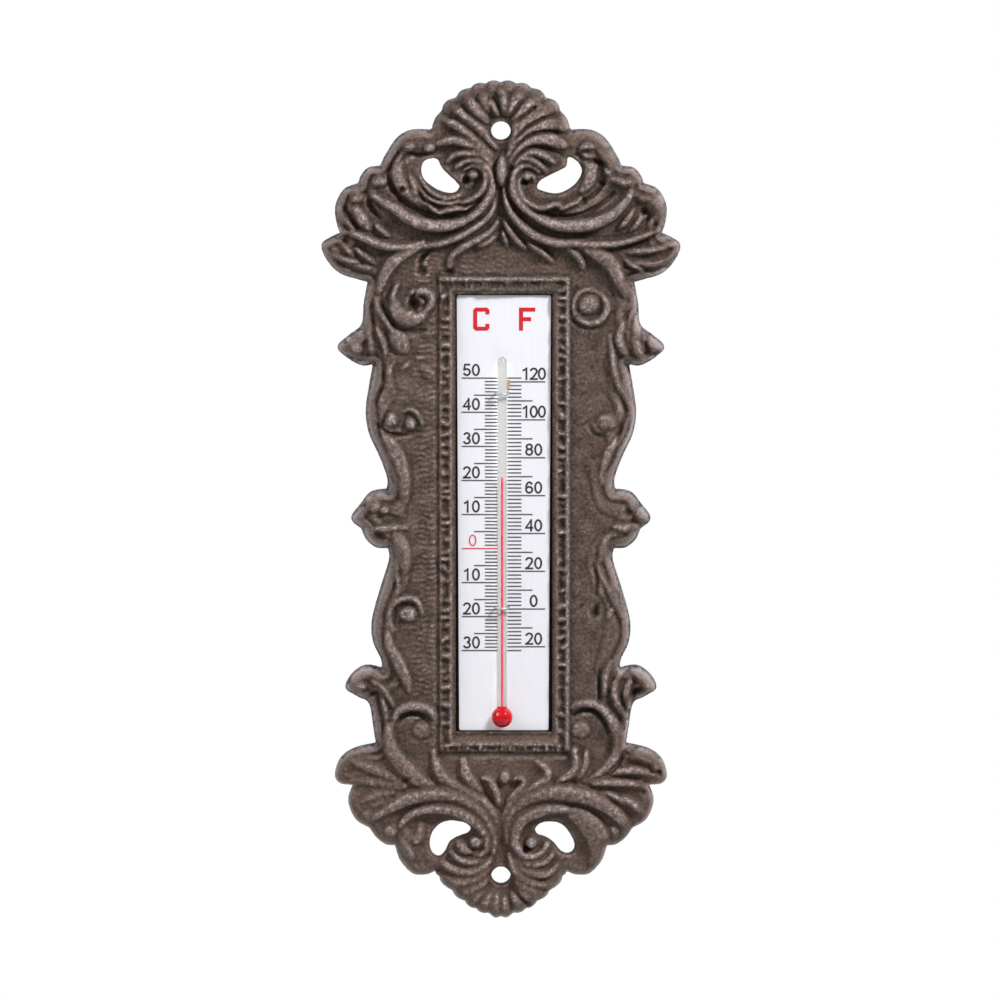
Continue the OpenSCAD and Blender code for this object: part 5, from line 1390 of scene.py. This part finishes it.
class ThermoIron(bpy.types.PropertyGroup):
    """Colours of the iron"""
    field_colour: bpy.props.FloatVectorProperty(
        name="Field", description="Brown of the flat field", subtype="COLOR", size=3,
        default=srgb(108, 85, 71)[:3], min=0, max=1)
    rust_colour: bpy.props.FloatVectorProperty(
        name="Rust", description="Redder brown of its patches", subtype="COLOR", size=3,
        default=srgb(98, 71, 57)[:3], min=0, max=1)
    worn_colour: bpy.props.FloatVectorProperty(
        name="Worn crests", description="Bare grey of the crests", subtype="COLOR", size=3,
        default=srgb(168, 149, 146)[:3], min=0, max=1)
    # Painted highlight colour: the glints on the highest and waxed spots, and the painted reflection at the
    # rim's very edge
    glint_colour: bpy.props.FloatVectorProperty(
        name="Glints", description="Cool pale grey of the highest spots", subtype="COLOR", size=3,
        default=srgb(194, 192, 196)[:3], min=0, max=1)
    dark_colour: bpy.props.FloatVectorProperty(
        name="Crevices", description="Near black of the crevices", subtype="COLOR", size=3,
        default=srgb(25, 24, 20)[:3], min=0, max=1)
    roughness: bpy.props.FloatProperty(
        name="Roughness", description="Roughness of the iron's field", subtype="FACTOR",
        default=0.5, min=0, max=1)


class ThermoScale(bpy.types.PropertyGroup):
    """Colours of the plate and its print"""
    plate_colour: bpy.props.FloatVectorProperty(
        name="Plate", description="White of the plate", subtype="COLOR", size=3,
        default=srgb(232, 232, 238)[:3], min=0, max=1)
    line_colour: bpy.props.FloatVectorProperty(
        name="Lines", description="Ink of the lines", subtype="COLOR", size=3,
        default=srgb(76, 76, 82)[:3], min=0, max=1)
    figure_colour: bpy.props.FloatVectorProperty(
        name="Figures", description="Ink of the figures", subtype="COLOR", size=3,
        default=srgb(40, 40, 45)[:3], min=0, max=1)
    letter_colour: bpy.props.FloatVectorProperty(
        name="Letters", description="Ink of the unit letters", subtype="COLOR", size=3,
        default=srgb(206, 4, 28)[:3], min=0, max=1)
    zero_colour: bpy.props.FloatVectorProperty(
        name="Zero", description="Paler ink of the zero and its line", subtype="COLOR", size=3,
        default=srgb(208, 72, 92)[:3], min=0, max=1)


class ThermoTube(bpy.types.PropertyGroup):
    """Glass tube and its spirit"""
    tint: bpy.props.FloatVectorProperty(
        name="Glass", description="Tint of the glass", subtype="COLOR", size=3,
        default=srgb(208, 209, 204)[:3], min=0, max=1)
    spirit_colour: bpy.props.FloatVectorProperty(
        name="Spirit", description="Red of the spirit", subtype="COLOR", size=3,
        default=srgb(214, 0, 24)[:3], min=0, max=1)
    thread_colour: bpy.props.FloatVectorProperty(
        name="Thread", description="Paler red of the thin thread", subtype="COLOR", size=3,
        default=srgb(232, 96, 116)[:3], min=0, max=1)


class ThermoStage(bpy.types.PropertyGroup):
    """Camera and lamps"""
    elevation: bpy.props.FloatProperty(
        name="Elevation", description="How high the camera looks from", subtype="ANGLE",
        default=math.radians(7), min=0, max=math.radians(60))
    distance: bpy.props.FloatProperty(
        name="Distance", description="Camera's distance from the thermometer", unit="LENGTH",
        default=3.0, min=0.5)
    key: bpy.props.FloatProperty(
        name="Key lamp", description="Power of the key lamp", unit="POWER", default=12.6, min=0)


class THERMO_OT_casting(bpy.types.Operator):
    """Builds the iron casting with its scrolls, moulding and openwork"""
    bl_idname = "thermo.casting"
    bl_label = "Casting"

    def execute(self, context):
        grain_group()
        patch_group()
        edge_group()
        relief = Relief()
        relief.shape()
        points, faces, places = casting_mesh(relief)
        casting = mesh_object("iron_casting", (points * MM).tolist(), faces)
        paint_masks(casting, relief, places)
        casting.data.materials.append(iron_material(context.scene.thermo_iron))
        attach(casting, "thermometer")
        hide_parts("cast_frame")
        return {"FINISHED"}


class THERMO_OT_scale(bpy.types.Operator):
    """Finishes the printed plate and the foam pads behind it"""
    bl_idname = "thermo.scale"
    bl_label = "Plate and print"

    def execute(self, context):
        settings = context.scene.thermo_scale
        dress("scale_plate", plate_material(settings))
        lines = print_material("Line print", settings.line_colour)
        figures = print_material("Figure print", settings.figure_colour)
        dress("celsius_lines", lines)
        dress("fahrenheit_lines", lines)
        dress("unit_letters", print_material("Letter print", settings.letter_colour))
        dress("zero_mark", print_material("Zero print", settings.zero_colour))
        for node in ("celsius_figures", "fahrenheit_figures"):
            broad = broadened("printed_" + node, node, FIGURE_GROW)
            broad.data.materials.append(figures)
            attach(broad, "thermometer")
            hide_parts(node)
        foam = foam_material()
        for name in ("upper_pad", "lower_pad"):
            dress(name, foam)
        return {"FINISHED"}


def tube_outline():
    """Bulb, fillet, stem and rounded tip of the glass, as (radius, height) pairs."""
    neck_r = STEM_R + NECK
    neck_z = math.sqrt((BULB_R + NECK) ** 2 - neck_r ** 2)
    turn = math.atan2(neck_z, neck_r)
    bulb = [(BULB_R * math.sin(a), BULB_Z - BULB_R * math.cos(a))
            for a in np.linspace(0, math.pi / 2 + turn, ROUND_STEPS)]
    fillet = [(neck_r - NECK * math.cos(a), BULB_Z + neck_z - NECK * math.sin(a))
              for a in np.linspace(turn, 0, FILLET_STEPS)[1:]]
    tip = [(STEM_R * math.cos(a), STEM_TOP - STEM_R + STEM_R * math.sin(a))
           for a in np.linspace(0, math.pi / 2, TIP_STEPS)]
    return bulb + fillet + tip


def drop_outline():
    """Spirit in the bulb, which narrows into the thread, as (radius, height) pairs."""
    foot = math.asin(FUNNEL_R / DROP_R)
    drop = [(DROP_R * math.sin(a), BULB_Z - DROP_R * math.cos(a))
            for a in np.linspace(0, math.pi - foot, ROUND_STEPS)]
    start = drop[-1][1]
    rise = BULB_Z + BULB_R + FUNNEL_RISE - start
    funnel = [(THREAD_R + (FUNNEL_R - THREAD_R) * (1 - t) ** 2, start + rise * t)
              for t in np.linspace(0, 1, FUNNEL_STEPS)[1:]]
    return drop + funnel + [(0, start + rise)]


def thread_outline():
    """Thread of spirit in the stem, in rings, as (radius, height) pairs."""
    rings = [(THREAD_R, z) for z in np.linspace(thread_low[2], end_high[2], COLUMN_RINGS)]
    return [(0, thread_low[2])] + rings + [(0, end_high[2])]


class THERMO_OT_tube(bpy.types.Operator):
    """Builds the glass tube with its bulb, and the spirit in it"""
    bl_idname = "thermo.tube"
    bl_label = "Glass tube"

    def execute(self, context):
        settings = context.scene.thermo_tube
        tube = lathe("glass_stem_and_bulb", tube_outline(), TUBE_SIDES)
        tube.data.materials.append(glass_material(settings))
        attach(tube, "thermometer")
        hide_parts("glass_tube")
        drop = lathe("spirit_in_bulb", drop_outline(), DROP_SIDES)
        red = spirit_material("Bulb spirit", settings.spirit_colour, srgb(162, 0, 18))
        drop.data.materials.append(red)
        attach(drop, "thermometer")
        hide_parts("bulb_spirit")
        column = lathe("spirit_line", thread_outline(), THREAD_SIDES)
        pale = spirit_material("Thread spirit", settings.thread_colour, srgb(226, 60, 84))
        column.data.materials.append(pale)
        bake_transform(column)
        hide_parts("spirit_thread", "spirit_surface")
        return {"FINISHED"}


class THERMO_OT_clips(bpy.types.Operator):
    """Finishes the wire clips and the dab of cement"""
    bl_idname = "thermo.clips"
    bl_label = "Clips and cement"

    def execute(self, context):
        wire = wire_material()
        dress("upper_clip", wire)
        dress("lower_clip", wire)
        dress("tube_cement", cement_material())
        return {"FINISHED"}


def white_for_camera(tree, plain_strength):
    """Makes a world white to the camera and through glass, and a plain soft light to all else."""
    path = add(tree, "ShaderNodeLightPath")
    seen = sums(tree, "MAXIMUM", path.outputs["Is Camera Ray"], path.outputs["Is Transmission Ray"])
    mirrored = ramp(tree, path.outputs["Is Glossy Ray"], 0, 1, plain_strength, MIRROR_LIGHT)
    background = tree.nodes["Background"]
    background.inputs["Color"].default_value = (1, 1, 1, 1)
    tree.links.new(sums(tree, "MAXIMUM", seen, mirrored), background.inputs["Strength"])


def aim(obj, target):
    """Turns a lamp or the camera to a point."""
    obj.rotation_euler = (Vector(target) - obj.location).to_track_quat("-Z", "Y").to_euler()


def lamp(name, place, target, size, power):
    """A soft square lamp."""
    light = bpy.data.lights.new(name, "AREA")
    light.energy = power
    light.size = size
    obj = bpy.data.objects.new(name, light)
    bpy.context.scene.collection.objects.link(obj)
    obj.location = place
    aim(obj, target)


def floor_material():
    """Plain pale floor, white to the camera where no shadow lies."""
    made, tree, shader = material("Pale floor", Roughness=0.9)
    tint = ramp(tree, noise(tree, 60, detail=2, roughness=0.5), 0.3, 0.7)
    tint = blend_colour(tree, tint, srgb(246, 246, 246), srgb(250, 250, 250))
    tree.links.new(tint, shader.inputs["Base Color"])
    glow = add(tree, "ShaderNodeEmission", {"Color": (1, 1, 1, 1)})
    path = add(tree, "ShaderNodeLightPath")
    tree.links.new(ramp(tree, path.outputs["Is Camera Ray"], 0, 1, 0, FLOOR_LIFT), glow.inputs["Strength"])
    finish_with(tree, add(tree, "ShaderNodeAddShader", {
        0: shader.outputs["BSDF"], 1: glow.outputs["Emission"]}))
    return made


class THERMO_OT_stage(bpy.types.Operator):
    """Sets up the camera, the lamps, the floor and the white background"""
    bl_idname = "thermo.stage"
    bl_label = "Stage"

    def execute(self, context):
        scene = context.scene
        settings = scene.thermo_stage
        centre = Vector((VIEW_X, 0, VIEW_Z))
        camera = bpy.data.objects.new("camera", bpy.data.cameras.new("camera"))
        scene.collection.objects.link(camera)
        camera.data.sensor_width = SENSOR
        camera.data.lens = SENSOR * PIXELS_PER_METRE * settings.distance / IMAGE_SIZE
        towards = Vector((0, -math.cos(settings.elevation), math.sin(settings.elevation)))
        camera.location = centre + towards * settings.distance
        aim(camera, centre)
        scene.camera = camera
        lamp("key_lamp", KEY_PLACE, centre, KEY_SIZE, settings.key)
        lamp("rim_lamp", LEFT_PLACE, centre, LEFT_SIZE, LEFT_SHARE * settings.key)
        half = FLOOR_SIZE / 2
        corners = [(x, y, FLOOR_Z) for x, y in ((-half, -half), (half, -half), (half, half), (-half, half))]
        floor = mesh_object("floor", corners, [[0, 1, 2, 3]], smooth=False)
        floor.data.materials.append(floor_material())
        world = bpy.data.worlds.new("studio")
        world.use_nodes = True
        white_for_camera(world.node_tree, WORLD_LIGHT)
        scene.world = world
        scene.view_settings.view_transform = "Standard"
        return {"FINISHED"}


class THERMO_PT_panel(bpy.types.Panel):
    """Lists the thermometer's pieces and their settings"""
    bl_label = "Wall Thermometer"
    bl_idname = "THERMO_PT_panel"
    bl_space_type = "VIEW_3D"
    bl_region_type = "UI"
    bl_category = "Thermometer"

    def draw(self, context):
        for operator, group in PANEL_ROWS:
            box = self.layout.box()
            box.operator(operator)
            if group:
                for name in SETTINGS[group].__annotations__:
                    box.prop(getattr(context.scene, group), name)


# Operators that the panel lists, each with its settings
PANEL_ROWS = [
    ("thermo.casting", "thermo_iron"),
    ("thermo.scale", "thermo_scale"),
    ("thermo.tube", "thermo_tube"),
    ("thermo.clips", None),
    ("thermo.stage", "thermo_stage"),
]
SETTINGS = {"thermo_iron": ThermoIron, "thermo_scale": ThermoScale, "thermo_tube": ThermoTube,
            "thermo_stage": ThermoStage}
CLASSES = (THERMO_OT_casting, THERMO_OT_scale, THERMO_OT_tube, THERMO_OT_clips, THERMO_OT_stage,
           THERMO_PT_panel)


def register():
    for name, group in SETTINGS.items():
        bpy.utils.register_class(group)
        setattr(bpy.types.Scene, name, bpy.props.PointerProperty(type=group))
    for item in CLASSES:
        bpy.utils.register_class(item)


def unregister():
    for item in reversed(CLASSES):
        bpy.utils.unregister_class(item)
    for name, group in SETTINGS.items():
        delattr(bpy.types.Scene, name)
        bpy.utils.unregister_class(group)


def main():
    """Builds the whole thermometer."""
    register()
    bpy.ops.thermo.casting()
    bpy.ops.thermo.scale()
    bpy.ops.thermo.tube()
    bpy.ops.thermo.clips()
    bpy.ops.thermo.stage()


if __name__ == "__main__":
    main()
